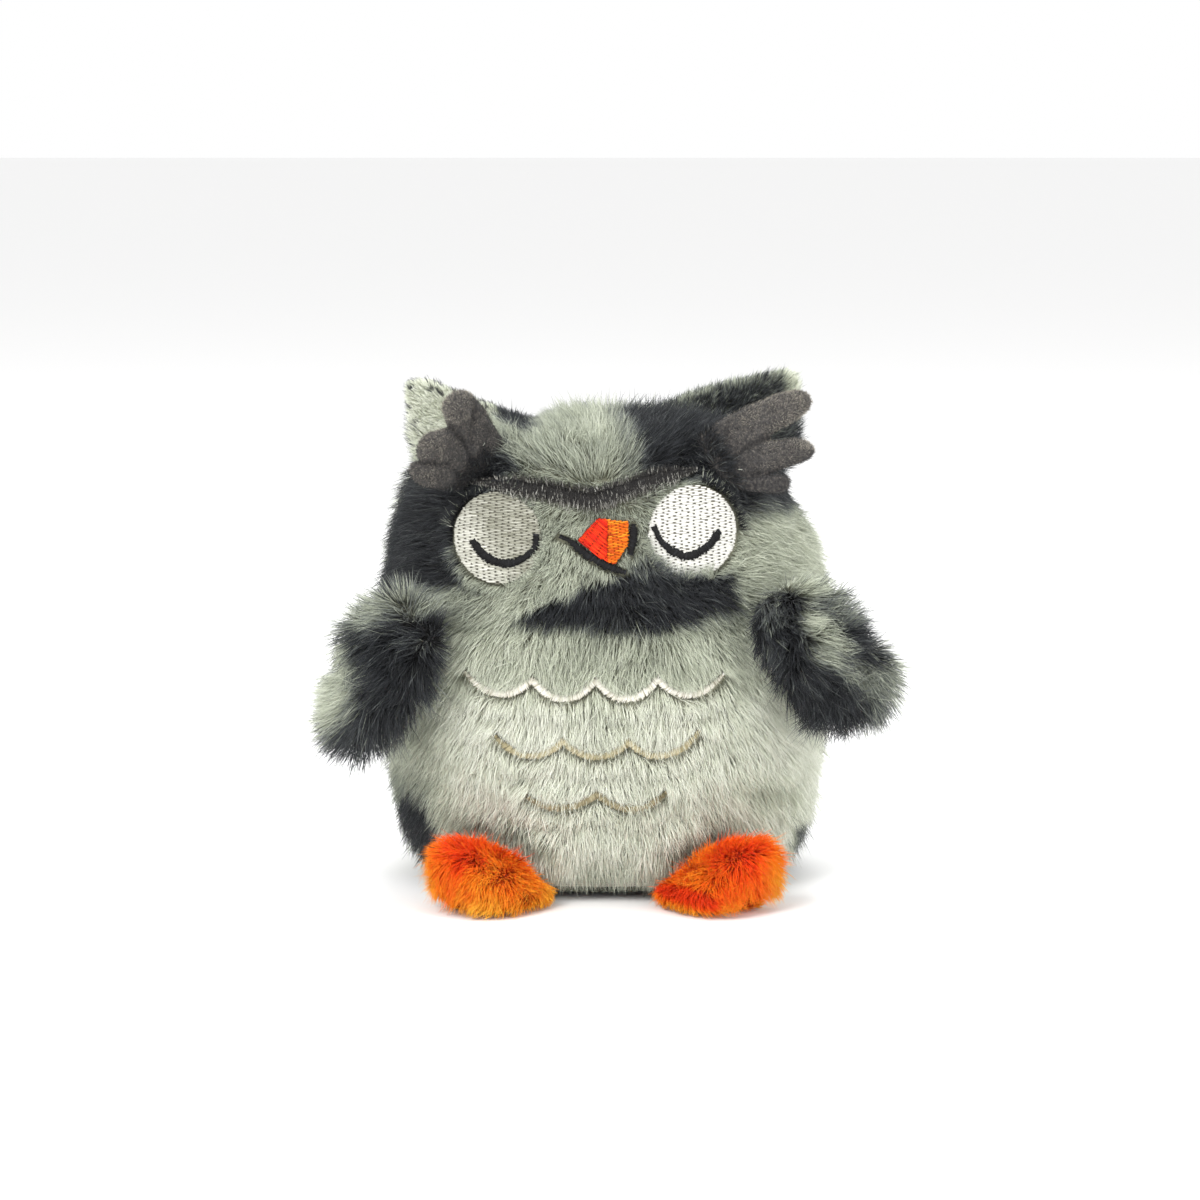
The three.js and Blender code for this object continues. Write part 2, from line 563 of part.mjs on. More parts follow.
function footSolid(sign, inward) {
  const { halfLength, halfWidth, height } = FOOT;
  const steps = [
    [0.72, 0],
    [0.9, 0.08],
    [0.985, 0.22],
    [1.0, 0.4],
    [0.95, 0.62],
    [0.8, 0.82],
    [0.5, 0.96],
  ];
  const profile = [new THREE.Vector2(0, inward)];
  for (const [r, h] of steps) profile.push(new THREE.Vector2(r, inward + h * (height - 2 * inward)));
  profile.push(new THREE.Vector2(0, height - inward));
  const g = new THREE.LatheGeometry(profile, 18);
  const position = g.attributes.position;
  const turn = (sign * FOOT.toeOut * Math.PI) / 180;
  for (let i = 0; i < position.count; i++) {
    const across = position.getX(i);
    const along = position.getZ(i);
    const z = position.getY(i);
    const angle = Math.atan2(across, along);
    const r = Math.hypot(across, along);
    // the toe end is squarer than the heel
    const square = 1 + 0.07 * Math.sin(2 * angle) ** 2 * (along > 0 ? 1 : 0.3);
    const a = Math.sin(angle) * r * (halfWidth - inward) * square;
    const b = Math.cos(angle) * r * (halfLength - inward) * square;
    const x = sign * FOOT.x + a * Math.cos(turn) + b * Math.sin(turn);
    const y = FOOT.y + a * Math.sin(turn) - b * Math.cos(turn);
    // the outer end is plumper than the end that tucks under the belly
    const outside = (sign * x - FOOT.x) / FOOT.halfLength;
    position.setXYZ(i, x, y, inward + (z - inward) * (1 + FOOT.rise * outside));
  }
  return outward(g);
}

for (const [side, sign] of [["right", -1], ["left", 1]]) {
  const clear = slab(-100, 100, -100, FOOT.heel, -5, 60);
  const whole = footSolid(sign, 0).subtract(bodySolid(-FOOT.clearance, RINGS, -2)).intersect(clear);
  const hollow = footSolid(sign, FOOT.wall).subtract(bodySolid(-FOOT.clearance - FOOT.wall, RINGS, -3)).intersect(slab(-100, 100, -100, FOOT.heel - FOOT.wall, -5, 60));
  const fill = footSolid(sign, FOOT.wall + GAP).subtract(bodySolid(-FOOT.clearance - FOOT.wall - GAP, RINGS, -3)).intersect(slab(-100, 100, -100, FOOT.heel - FOOT.wall - GAP, -5, 60));
  const cover = whole.subtract(hollow);
  add(`${side}_foot_top_panel`, cover.intersect(slab(-100, 100, -100, 100, FOOT.sole + GAP, 60)), ORANGE_PILE);
  add(`${side}_foot_sole`, whole.intersect(slab(-100, 100, -100, 100, -1, FOOT.sole)), ORANGE_PILE);
  add(`${side}_foot_stuffing`, fill.intersect(slab(-100, 100, -100, 100, FOOT.sole + GAP, 60)), FIBRE);
}

// ---- ears -----------------------------------------------------------------

for (const [side, line] of [["right", EAR_RIGHT], ["left", EAR_LEFT]]) {
  const front = prismY(line, -EAR_LAYER - GAP / 2, -GAP / 2).subtract(grown);
  const back = prismY(line, GAP / 2, EAR_LAYER + GAP / 2).subtract(grown);
  add(`${side}_ear_front_panel`, front, side === "right" ? LIGHT_PILE : DARK_PILE);
  add(`${side}_ear_back_panel`, back, DARK_PILE);
}

// ---- felt tufts -----------------------------------------------------------

for (const [side, sign, tuft] of [["right", -1, TUFT_RIGHT], ["left", 1, TUFT_LEFT]]) {
  const low = new THREE.Vector3(...tuft.low);
  const along = new THREE.Vector3(...tuft.high).sub(low).normalize();
  const facing = new THREE.Vector3(...tuft.facing);
  facing.addScaledVector(along, -facing.dot(along)).normalize();
  const flat = new THREE.Vector3().crossVectors(along, facing).multiplyScalar(sign);
  const fold = THREE.MathUtils.degToRad(tuft.fold);
  const out = flat.clone().multiplyScalar(Math.cos(fold)).addScaledVector(facing, Math.sin(fold));
  const through = new THREE.Vector3().crossVectors(along, out);
  const g = new THREE.ExtrudeGeometry(shapeOf(TUFT), { depth: FELT, bevelEnabled: false, steps: 1 });
  g.translate(0, 0, -FELT / 2);
  g.applyMatrix4(new THREE.Matrix4().makeBasis(along, out, through).setPosition(low));
  let sheet = solid(g).subtract(grown);
  // the stitched edge is trimmed so that the sheet clears the head wherever it folds
  for (const degrees of tuft.clears) {
    const turn = new THREE.Matrix4().makeRotationAxis(along, THREE.MathUtils.degToRad(degrees));
    const about = new THREE.Matrix4().makeTranslation(low).multiply(turn).multiply(new THREE.Matrix4().makeTranslation(low.clone().negate()));
    sheet = sheet.subtract(solid(geometryOf(grown).applyMatrix4(about)));
  }
  add(`${side}_felt_tuft`, sheet, FELT_GREY);
}

export default group;
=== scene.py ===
import math

import bmesh
import bpy
import numpy as np
from mathutils import Matrix, Vector
from mathutils.kdtree import KDTree


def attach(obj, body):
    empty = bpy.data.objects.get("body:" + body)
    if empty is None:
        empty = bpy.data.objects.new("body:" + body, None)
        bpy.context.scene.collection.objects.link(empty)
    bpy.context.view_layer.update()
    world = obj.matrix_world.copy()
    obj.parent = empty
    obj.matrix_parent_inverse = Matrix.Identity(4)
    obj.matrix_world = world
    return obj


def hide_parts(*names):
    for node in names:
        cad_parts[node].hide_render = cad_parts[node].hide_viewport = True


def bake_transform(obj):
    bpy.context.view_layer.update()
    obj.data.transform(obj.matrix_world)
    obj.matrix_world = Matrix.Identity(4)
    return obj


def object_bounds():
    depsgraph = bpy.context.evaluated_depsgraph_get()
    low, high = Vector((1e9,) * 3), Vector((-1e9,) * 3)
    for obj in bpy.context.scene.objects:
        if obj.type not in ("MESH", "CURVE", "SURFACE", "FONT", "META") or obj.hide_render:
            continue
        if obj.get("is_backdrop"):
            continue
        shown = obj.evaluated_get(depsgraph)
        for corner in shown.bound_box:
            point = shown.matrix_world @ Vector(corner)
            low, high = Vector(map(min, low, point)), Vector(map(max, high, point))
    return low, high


# A sewn and stuffed plush owl, sitting on its flat base. It faces -Y, +Z is up and its own
# left side is +X. Lengths below are in millimetres and turn into metres as meshes are made.

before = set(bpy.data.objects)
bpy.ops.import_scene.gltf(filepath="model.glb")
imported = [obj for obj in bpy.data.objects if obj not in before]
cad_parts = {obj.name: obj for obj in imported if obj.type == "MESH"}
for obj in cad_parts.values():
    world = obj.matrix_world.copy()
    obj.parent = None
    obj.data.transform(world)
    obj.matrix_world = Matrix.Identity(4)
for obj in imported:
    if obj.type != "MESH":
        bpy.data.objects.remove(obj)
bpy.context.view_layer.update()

MM = 0.001

# ---- camera ---------------------------------------------------------------

AIM = np.array([-1.1, 0.0, 70.0])
DISTANCE = 900.0
RISE = math.radians(8.0)
FOCAL = 3533.4  # pixels, for a picture 1200 pixels wide
BACK = np.array([0.0, -math.cos(RISE), math.sin(RISE)])
UP = np.array([0.0, math.sin(RISE), math.cos(RISE)])
EYE_POINT = AIM + DISTANCE * BACK

camera_data = bpy.data.cameras.new("camera")
camera_data.sensor_width = 36.0
camera_data.lens = FOCAL * 36.0 / 1200.0
camera_data.clip_start = 0.05
camera_data.clip_end = 50.0
camera = bpy.data.objects.new("camera", camera_data)
bpy.context.scene.collection.objects.link(camera)
camera.location = Vector(EYE_POINT * MM)
camera.rotation_mode = "QUATERNION"
camera.rotation_quaternion = Vector(-BACK).to_track_quat("-Z", "Y")
bpy.context.scene.camera = camera


def project(p):
    """Where a point of the toy lies in a 1200 pixel wide picture."""
    q = np.asarray(p, float) - EYE_POINT
    w = q @ -BACK
    return np.stack([600 + FOCAL * q[..., 0] / w, 600 - FOCAL * (q @ UP) / w], -1)


# ---- colours --------------------------------------------------------------


def lin(rgb, alpha=1.0):
    c = np.array(rgb, float) / 255.0
    c = np.where(c <= 0.04045, c / 12.92, ((c + 0.055) / 1.055) ** 2.4)
    return (*[float(v) for v in c], alpha)


# ---- noise ----------------------------------------------------------------


def lattice(ix, iy, iz, seed):
    n = (ix.astype(np.uint64) * np.uint64(73856093)) ^ (iy.astype(np.uint64) * np.uint64(19349663))
    n = n ^ (iz.astype(np.uint64) * np.uint64(83492791)) ^ np.uint64(seed * 2654435761)
    n = n & np.uint64(0xFFFFFFFF)
    n = ((n ^ (n >> np.uint64(13))) * np.uint64(1274126177)) & np.uint64(0xFFFFFFFF)
    n = ((n ^ (n >> np.uint64(16))) * np.uint64(2246822519)) & np.uint64(0xFFFFFFFF)
    n = n ^ (n >> np.uint64(15))
    return (n & np.uint64(0xFFFF)).astype(float) / 32767.5 - 1.0


def noise(p, cell, seed):
    """Smooth value noise between -1 and 1 at points p."""
    q = np.asarray(p, float) / cell
    base = np.floor(q)
    f = q - base
    f = f * f * (3 - 2 * f)
    i = base.astype(np.int64)
    total = 0.0
    for dx in (0, 1):
        wx = f[..., 0] if dx else 1 - f[..., 0]
        for dy in (0, 1):
            wy = f[..., 1] if dy else 1 - f[..., 1]
            for dz in (0, 1):
                wz = f[..., 2] if dz else 1 - f[..., 2]
                total = total + wx * wy * wz * lattice(i[..., 0] + dx, i[..., 1] + dy, i[..., 2] + dz, seed)
    return total


def noise3(p, cell, seed):
    return np.stack([noise(p, cell, seed + k) for k in range(3)], -1)


def smooth(x):
    x = np.clip(x, 0.0, 1.0)
    return x * x * (3 - 2 * x)


def unit(v):
    return v / np.maximum(np.linalg.norm(v, axis=-1, keepdims=True), 1e-9)


# ---- the toy's shape, as it was cut and stuffed ---------------------------

SECTION = 2.3
POWER = 2 / SECTION
CROWN = 119.2
NECK = 70.0
PROFILE = np.array([
    [0, 36.0, 30.0, 30.0],
    [1.5, 41.5, 34.8, 34.6],
    [4, 46.2, 38.8, 38.2],
    [8, 50.0, 42.0, 41.2],
    [14, 52.6, 44.6, 43.6],
    [20, 54.0, 46.1, 44.9],
    [30, 55.3, 47.7, 46.2],
    [45, 57.0, 48.4, 47.0],
    [58, 58.0, 47.6, 46.4],
    [70, 57.6, 45.8, 45.0],
    [80, 55.6, 44.4, 43.6],
    [93, 52.4, 42.4, 41.6],
    [100, 50.0, 40.2, 39.4],
    [105, 47.4, 37.4, 36.6],
    [110, 43.4, 33.2, 32.6],
    [114, 38.4, 28.4, 28.0],
    [116.6, 31.5, 22.6, 22.2],
    [118.3, 21.5, 15.2, 15.0],
    [118.9, 12.5, 8.8, 8.8],
])
SIDE_SEAM = np.array([[-22, 0], [-18, 8], [-7, 24], [-3, 45], [-3, 70], [0, 95], [0, 130]], float)
BROW_SEAM = np.array([[-64, 107], [-47, 106.4], [-32.9, 103.9], [-22.3, 103.5], [-12.5, 101.9], [-3, 100.1], [2.8, 101.7], [12.5, 104.6], [22.1, 106.7], [34, 108.4], [47, 109.2], [64, 109.6]])

EYE_RADIUS = 11.1
EYE_DEPTH = 1.95
EYES = {"right": (-26.0, 90.4), "left": (21.4, 92.1)}
LID_WIDTH = 2.0
LIDS = {
    "right": [[-32.3, 89.6], [-29.3, 86.2], [-25.1, 84.5], [-20.5, 85.4], [-16.9, 88.6], [-16.6, 91.6]],
    "left": [[11.9, 93.6], [14.4, 89.4], [19.5, 86.4], [24.6, 88.1], [28.1, 92.0]],
}
BEAK_DEPTH = 1.6
BEAK = {
    "right": [[-6.6, 90.4], [-1.6, 95.7], [0.78, 95.4], [0.78, 85.2], [-1.2, 86.3], [-4.3, 88.5]],
    "left": [[0.78, 95.4], [5.9, 94.7], [5.6, 89.2], [2.5, 84.5], [0.78, 85.2]],
}
MOUTH_WIDTH = 1.9
MOUTH = {
    "right": [[-10.9, 91.2], [-8.5, 90.3], [-6.6, 88.6], [-4.1, 86.8], [-0.9, 85.0], [2.4, 83.4], [5.0, 82.7]],
    "left": [[7.0, 94.2], [7.0, 90.6], [6.3, 87.0]],
}
BROW_WIDTH = 3.8
BROW_DEPTH = 1.5
BROW_LINE = [[-33.6, 103.8], [-22.3, 102.9], [-12.5, 101.6], [-3, 100.1], [2.8, 101.7], [12.5, 104.6], [22.6, 106.8]]
SCALLOP_WIDTH = 1.8
SCALLOP_DEPTH = 1.75
SCALLOPS = {
    "top": [[-34.2, 58.0], [-25.4, 53.0], [-17.6, 56.9], [-9.6, 52.3], [-2.1, 56.9], [5.9, 52.3], [12.9, 57.1], [21.0, 53.0], [29.0, 57.7]],
    "middle": [[-26.9, 42.8], [-17.6, 38.1], [-10.1, 42.0], [-1.8, 38.1], [5.9, 41.8], [13.7, 38.2], [23.2, 44.0]],
    "bottom": [[-18.9, 27.7], [-10.4, 25.2], [-1.8, 28.8], [6.0, 25.0], [15.0, 28.9]],
}


def section(z):
    """Half width, front depth and back depth of the body at each height."""
    z = np.clip(np.asarray(z, float), 0.0, 118.9)
    last = len(PROFILE) - 1
    i = np.clip(np.searchsorted(PROFILE[1:, 0], z, side="left"), 0, last - 1)
    p0, p1, p2, p3 = (PROFILE[np.clip(i + k, 0, last)] for k in (-1, 0, 1, 2))
    dz = (p2[..., 0] - p1[..., 0])[..., None]
    t = np.clip((z[..., None] - p1[..., :1]) / dz, 0, 1)
    inner1 = (p2 - p0)[..., 1:] / np.maximum(p2[..., :1] - p0[..., :1], 1e-9) * dz
    inner2 = (p3 - p1)[..., 1:] / np.maximum(p3[..., :1] - p1[..., :1], 1e-9) * dz
    step = (p2 - p1)[..., 1:]
    m1 = np.where((i == 0)[..., None], step, inner1)
    m2 = np.where((i + 2 > last)[..., None], step, inner2)
    t2, t3 = t * t, t * t * t
    out = (2 * t3 - 3 * t2 + 1) * p1[..., 1:] + (t3 - 2 * t2 + t) * m1 + (-2 * t3 + 3 * t2) * p2[..., 1:] + (t3 - t2) * m2
    return out[..., 0], out[..., 1], out[..., 2]


def front_y(x, z):
    half, front, _ = section(z)
    t = np.maximum(1 - (np.abs(x) / half) ** SECTION, 0.02)
    return -front * t ** (1 / SECTION)


_z = np.append(np.arange(0.0, 118.9, 0.25), 118.9)
_h, _f, _b = section(_z)
_r = np.linspace(1, 0, 26)[1:]
TABLE = np.stack([
    np.append(_z, 118.9 + 0.3 * (1 - _r**2)),
    np.append(_h, 12.5 * _r),
    np.append(_f, 8.8 * _r),
    np.append(_b, 8.8 * _r),
], -1)
ARC = np.concatenate([[0], np.cumsum(np.hypot(np.diff(TABLE[:, 0]), np.diff(TABLE[:, 1])))])
TOP = ARC[-1]


def arc_of(z):
    return np.interp(z, TABLE[:, 0], ARC)


def surface(s, a):
    """Point of the body's outer surface: s runs up its side, a is 0 in front and 90 degrees at its left."""
    z, half, front, back = (np.interp(s, ARC, TABLE[:, k]) for k in range(4))
    sn, cs = np.sin(a), np.cos(a)
    x = half * np.sign(sn) * np.abs(sn) ** POWER
    y = -np.where(cs > 0, front, back) * np.sign(cs) * np.abs(cs) ** POWER
    return np.stack([x, y, z + 0 * x], -1)


def surface_normal(s, a):
    s = np.minimum(s, TOP - 0.4)
    lift = surface(np.minimum(s + 0.4, TOP), a) - surface(np.maximum(s - 0.4, 0), a)
    turn = surface(s, a + 0.03) - surface(s, a - 0.03)
    return unit(np.cross(turn, lift))


def seam_angle(z):
    """Angle of the side seam at each height."""
    y = np.interp(z, SIDE_SEAM[:, 1], SIDE_SEAM[:, 0])
    _, front, back = section(z)
    c = np.clip(np.abs(y) / np.where(y < 0, front, back), 0, 1) ** (SECTION / 2)
    return np.arccos(np.where(y < 0, c, -c))


def brow_height(x):
    return np.interp(x, BROW_SEAM[:, 0], BROW_SEAM[:, 1])


# ---- lines and outlines, seen from the front ------------------------------


def spline(points, count, closed=False):
    """Catmull-Rom curve through points, count samples."""
    p = np.array(points, float)
    n = len(p)
    spans = n if closed else n - 1
    t = np.linspace(0, spans, count, endpoint=not closed)
    i = np.minimum(t.astype(int), spans - 1)
    f = (t - i)[:, None]
    if closed:
        a, b, c, d = (p[(i + k) % n] for k in (-1, 0, 1, 2))
    else:
        e = np.vstack([2 * p[0] - p[1], p, 2 * p[-1] - p[-2]])
        a, b, c, d = (e[i + 1 + k] for k in (-1, 0, 1, 2))
    return 0.5 * (2 * b + (c - a) * f + (2 * a - 5 * b + 4 * c - d) * f**2 + (3 * b - a - 3 * c + d) * f**3)


def resample(line, step, closed=False):
    line = np.array(line, float)
    if closed:
        line = np.vstack([line, line[:1]])
    length = np.concatenate([[0], np.cumsum(np.linalg.norm(np.diff(line, axis=0), axis=1))])
    n = max(int(round(length[-1] / step)), 2)
    t = np.linspace(0, length[-1], n + 1)
    out = np.stack([np.interp(t, length, line[:, k]) for k in range(line.shape[1])], -1)
    return out[:-1] if closed else out


def line_distance(p, line):
    """Distance of points p to an open line, and the share of its length at the nearest point."""
    a, b = line[:-1], line[1:]
    d = b - a
    t = np.einsum("nmk,mk->nm", p[:, None] - a, d) / np.maximum((d**2).sum(1), 1e-12)
    t = np.clip(t, 0, 1)
    gap = p[:, None] - (a + t[..., None] * d)
    dist = np.sqrt((gap**2).sum(-1))
    j = dist.argmin(1)
    rows = np.arange(len(p))
    return dist[rows, j], (j + t[rows, j]) / len(a)


def outline_distance(p, line):
    """Signed distance of points p to a closed outline, negative inside."""
    closed = np.vstack([line, line[:1]])
    dist, _ = line_distance(p, closed)
    a, b = closed[:-1], closed[1:]
    x, y = p[:, :1], p[:, 1:]
    crosses = ((a[:, 1] > y) != (b[:, 1] > y)) & (x < (b[:, 0] - a[:, 0]) * (y - a[:, 1]) / np.where(a[:, 1] == b[:, 1], 1e-9, b[:, 1] - a[:, 1]) + a[:, 0])
    inside = crosses.sum(1) % 2 == 1
    return np.where(inside, -dist, dist)


def scallop_line(points, samples=14):
    out = []
    for i in range(0, len(points) - 2, 2):
        (ax, az), (mx, mz), (bx, bz) = points[i : i + 3]
        f = np.linspace(0, 1, samples, endpoint=False)
        sag = az + (bz - az) * (mx - ax) / (bx - ax) - mz
        out.append(np.stack([ax + (bx - ax) * f, az + (bz - az) * f - sag * (1 - np.abs(2 * f - 1) ** 2.2)], -1))
    out.append(np.array([points[-1]], float))
    return np.vstack(out)


SCALLOP_LINES = {k: scallop_line(v) for k, v in SCALLOPS.items()}
BROW = spline(BROW_LINE, 60)
MOUTH_LINES = {k: spline(v, 40) for k, v in MOUTH.items()}
LID_LINES = {k: spline(v, 40) for k, v in LIDS.items()}


def brow_half_width(share):
    """The brow's stitching tapers to both ends."""
    return BROW_WIDTH / 2 * (0.25 + 0.75 * smooth(share / 0.22) * smooth((1 - share) / 0.16))


def clear_of_stitching(x, z, kinds=("eye", "beak", "mouth", "brow", "scallop")):
    """Distance from a front point to the nearest stitching, negative on it."""
    p = np.stack([x, z], -1)
    out = np.full(len(p), 99.0)
    if "eye" in kinds:
        for c in EYES.values():
            out = np.minimum(out, np.hypot(x - c[0], z - c[1]) - EYE_RADIUS)
    if "beak" in kinds:
        for line in BEAK.values():
            out = np.minimum(out, outline_distance(p, np.array(line)))
    if "mouth" in kinds:
        for line in MOUTH_LINES.values():
            out = np.minimum(out, line_distance(p, line)[0] - MOUTH_WIDTH / 2)
    if "brow" in kinds:
        d, share = line_distance(p, BROW)
        out = np.minimum(out, d - brow_half_width(share))
    if "scallop" in kinds:
        for line in SCALLOP_LINES.values():
            out = np.minimum(out, line_distance(p, line)[0] - SCALLOP_WIDTH / 2)
    return out


# ---- meshes ---------------------------------------------------------------


def make_object(name, verts, faces, material, smooth_shade=True):
    """faces is a list of index arrays, one for each number of corners."""
    verts = np.asarray(verts, float).reshape(-1, 3) * MM
    faces = [np.asarray(f, np.int64) for f in faces if len(f)]
    mesh = bpy.data.meshes.new(name)
    mesh.vertices.add(len(verts))
    mesh.vertices.foreach_set("co", verts.astype(np.float32).ravel())
    loops = np.concatenate([f.ravel() for f in faces])
    sizes = np.concatenate([np.full(len(f), f.shape[1]) for f in faces])
    starts = np.concatenate([[0], np.cumsum(sizes)[:-1]])
    mesh.loops.add(len(loops))
    mesh.loops.foreach_set("vertex_index", loops.astype(np.int32))
    mesh.polygons.add(len(sizes))
    mesh.polygons.foreach_set("loop_start", starts.astype(np.int32))
    mesh.polygons.foreach_set("use_smooth", np.full(len(sizes), smooth_shade))
    mesh.update(calc_edges=True)
    mesh.materials.append(material)
    obj = bpy.data.objects.new(name, mesh)
    bpy.context.scene.collection.objects.link(obj)
    return obj


def set_uv(obj, uv):
    """uv holds one pair for each vertex."""
    mesh = obj.data
    layer = mesh.uv_layers.new(name="OFBake")
    index = np.zeros(len(mesh.loops), np.int32)
    mesh.loops.foreach_get("vertex_index", index)
    layer.data.foreach_set("uv", np.asarray(uv, np.float32)[index].ravel())


def set_shade(obj, shade):
    attribute = obj.data.attributes.new("pile_shade", "FLOAT", "POINT")
    attribute.data.foreach_set("value", np.asarray(shade, np.float32))


def weld(obj, distance=0.01):
    """Joins points closer than distance mm, and drops faces that lose their area."""
    bm = bmesh.new()
    bm.from_mesh(obj.data)
    bmesh.ops.remove_doubles(bm, verts=bm.verts, dist=distance * MM)
    bmesh.ops.dissolve_degenerate(bm, dist=distance * MM * 0.5, edges=bm.edges)
    bmesh.ops.recalc_face_normals(bm, faces=bm.faces)
    bm.to_mesh(obj.data)
    bm.free()
    obj.data.polygons.foreach_set("use_smooth", np.full(len(obj.data.polygons), True))
    obj.data.update()


def shell(outer, inner):
    """A closed sheet between two grids of points, rows by columns."""
    rows, cols, _ = outer.shape
    idx = np.arange(rows * cols).reshape(rows, cols)
    off = rows * cols
    quads = np.stack([idx[:-1, :-1], idx[:-1, 1:], idx[1:, 1:], idx[1:, :-1]], -1).reshape(-1, 4)
    back = quads[:, ::-1] + off
    border = np.concatenate([idx[0, :-1], idx[:-1, -1], idx[-1, :0:-1], idx[:0:-1, 0]])
    after = np.roll(border, -1)
    walls = np.stack([after, border, border + off, after + off], -1)
    return np.concatenate([outer.reshape(-1, 3), inner.reshape(-1, 3)]), [np.concatenate([quads, back, walls])], quads


# ---- materials ------------------------------------------------------------


def new_material(name):
    material = bpy.data.materials.new(name)
    material.use_nodes = True
    nodes, links = material.node_tree.nodes, material.node_tree.links
    return material, nodes, links, nodes["Principled BSDF"]


def ramp(nodes, stops):
    node = nodes.new("ShaderNodeValToRGB")
    elements = node.color_ramp.elements
    while len(elements) > 1:
        elements.remove(elements[0])
    elements[0].position, elements[0].color = stops[0][0], stops[0][1]
    for position, color in stops[1:]:
        e = elements.new(position)
        e.color = color
    return node


def pile_material(name, root, tip, reach, roughness=0.62, sheen=0.06):
    """Fibre colour: across the map from dark to light yarn, and up it from the root to the tip."""
    material, nodes, links, shader = new_material(name)
    uv = nodes.new("ShaderNodeUVMap")
    uv.uv_map = "OFBake"
    parts = nodes.new("ShaderNodeSeparateXYZ")
    links.new(uv.outputs["UV"], parts.inputs[0])
    low, high = ramp(nodes, root), ramp(nodes, tip)
    links.new(parts.outputs["X"], low.inputs["Fac"])
    links.new(parts.outputs["X"], high.inputs["Fac"])
    along = ramp(nodes, reach)
    links.new(parts.outputs["Y"], along.inputs["Fac"])
    mix = nodes.new("ShaderNodeMix")
    mix.data_type = "RGBA"
    links.new(along.outputs["Color"], mix.inputs["Factor"])
    links.new(low.outputs["Color"], mix.inputs["A"])
    links.new(high.outputs["Color"], mix.inputs["B"])
    links.new(mix.outputs["Result"], shader.inputs["Base Color"])
    shader.inputs["Roughness"].default_value = roughness
    shader.inputs["Specular IOR Level"].default_value = 0.24
    shader.inputs["Sheen Weight"].default_value = sheen
    shader.inputs["Sheen Roughness"].default_value = 0.4
    return material


def grey(v):
    return (v, v, v, 1.0)


BODY_ROOT = [
    (0.0, lin((15, 16, 17))),
    (0.22, lin((32, 33, 35))),
    (0.45, lin((104, 106, 95))),
    (0.62, lin((157, 160, 139))),
    (0.82, lin((200, 203, 182))),
    (1.0, lin((223, 224, 206))),
]
BODY_TIP = [
    (0.0, lin((31, 33, 36))),
    (0.2, lin((58, 61, 65))),
    (0.38, lin((116, 121, 119))),
    (0.55, lin((169, 175, 158))),
    (0.75, lin((221, 226, 207))),
    (1.0, lin((248, 250, 238))),
]
PILE_REACH = [(0.0, grey(0.0)), (0.3, grey(0.3)), (0.65, grey(0.85)), (1.0, grey(1.0))]
body_pile = pile_material("long_pile", BODY_ROOT, BODY_TIP, PILE_REACH)

# The darkest stops of the orange ramps colour the dark pile atop the right foot and the painted shadow under the fold
# of the left foot.
FOOT_ROOT = [(0.0, lin((96, 34, 10))), (0.12, lin((240, 62, 6))), (0.5, lin((255, 104, 10))), (1.0, lin((255, 150, 18)))]
FOOT_TIP = [(0.0, lin((142, 60, 20))), (0.12, lin((246, 68, 8))), (0.3, lin((255, 98, 12))), (0.6, lin((255, 146, 22))), (1.0, lin((255, 198, 62)))]
foot_pile = pile_material("orange_pile", FOOT_ROOT, FOOT_TIP, PILE_REACH, sheen=0.04)

FELT_ROOT = [(0.0, lin((34, 33, 34))), (0.5, lin((60, 58, 57))), (1.0, lin((86, 81, 76)))]
FELT_TIP = [(0.0, lin((48, 47, 48))), (0.5, lin((94, 90, 86))), (1.0, lin((206, 198, 180)))]
felt_pile = pile_material("felt_fuzz", FELT_ROOT, FELT_TIP, PILE_REACH, roughness=0.9, sheen=0.12)


def backing_material(name, stops, scale, bump):
    """Knitted backing cloth under the pile, coloured by the pile that grows on it."""
    material, nodes, links, shader = new_material(name)
    shade = nodes.new("ShaderNodeAttribute")
    shade.attribute_name = "pile_shade"
    colour = ramp(nodes, stops)
    links.new(shade.outputs["Fac"], colour.inputs["Fac"])
    place = nodes.new("ShaderNodeTexCoord")
    loops = nodes.new("ShaderNodeTexVoronoi")
    loops.inputs["Scale"].default_value = scale
    links.new(place.outputs["Object"], loops.inputs["Vector"])
    grain = nodes.new("ShaderNodeTexNoise")
    grain.inputs["Scale"].default_value = scale * 1.7
    links.new(place.outputs["Object"], grain.inputs["Vector"])
    mix = nodes.new("ShaderNodeMix")
    mix.data_type = "RGBA"
    mix.blend_type = "MULTIPLY"
    mix.inputs["Factor"].default_value = 0.5
    links.new(colour.outputs["Color"], mix.inputs["A"])
    links.new(grain.outputs["Fac"], mix.inputs["B"])
    links.new(mix.outputs["Result"], shader.inputs["Base Color"])
    height = nodes.new("ShaderNodeBump")
    height.inputs["Strength"].default_value = bump
    height.inputs["Distance"].default_value = 0.0002
    links.new(loops.outputs["Distance"], height.inputs["Height"])
    links.new(height.outputs["Normal"], shader.inputs["Normal"])
    shader.inputs["Roughness"].default_value = 0.9
    shader.inputs["Specular IOR Level"].default_value = 0.2
    return material


body_backing = backing_material("pile_backing", [(0.0, lin((12, 13, 14))), (0.3, lin((40, 41, 40))), (0.6, lin((128, 128, 110))), (1.0, lin((186, 185, 162)))], 900, 0.5)
foot_backing = backing_material("orange_backing", [(0.0, lin((170, 44, 4))), (1.0, lin((230, 84, 8)))], 900, 0.5)
ear_backing = backing_material("ear_backing", [(0.0, lin((18, 20, 24))), (0.5, lin((110, 114, 104))), (1.0, lin((196, 200, 180)))], 1100, 0.8)


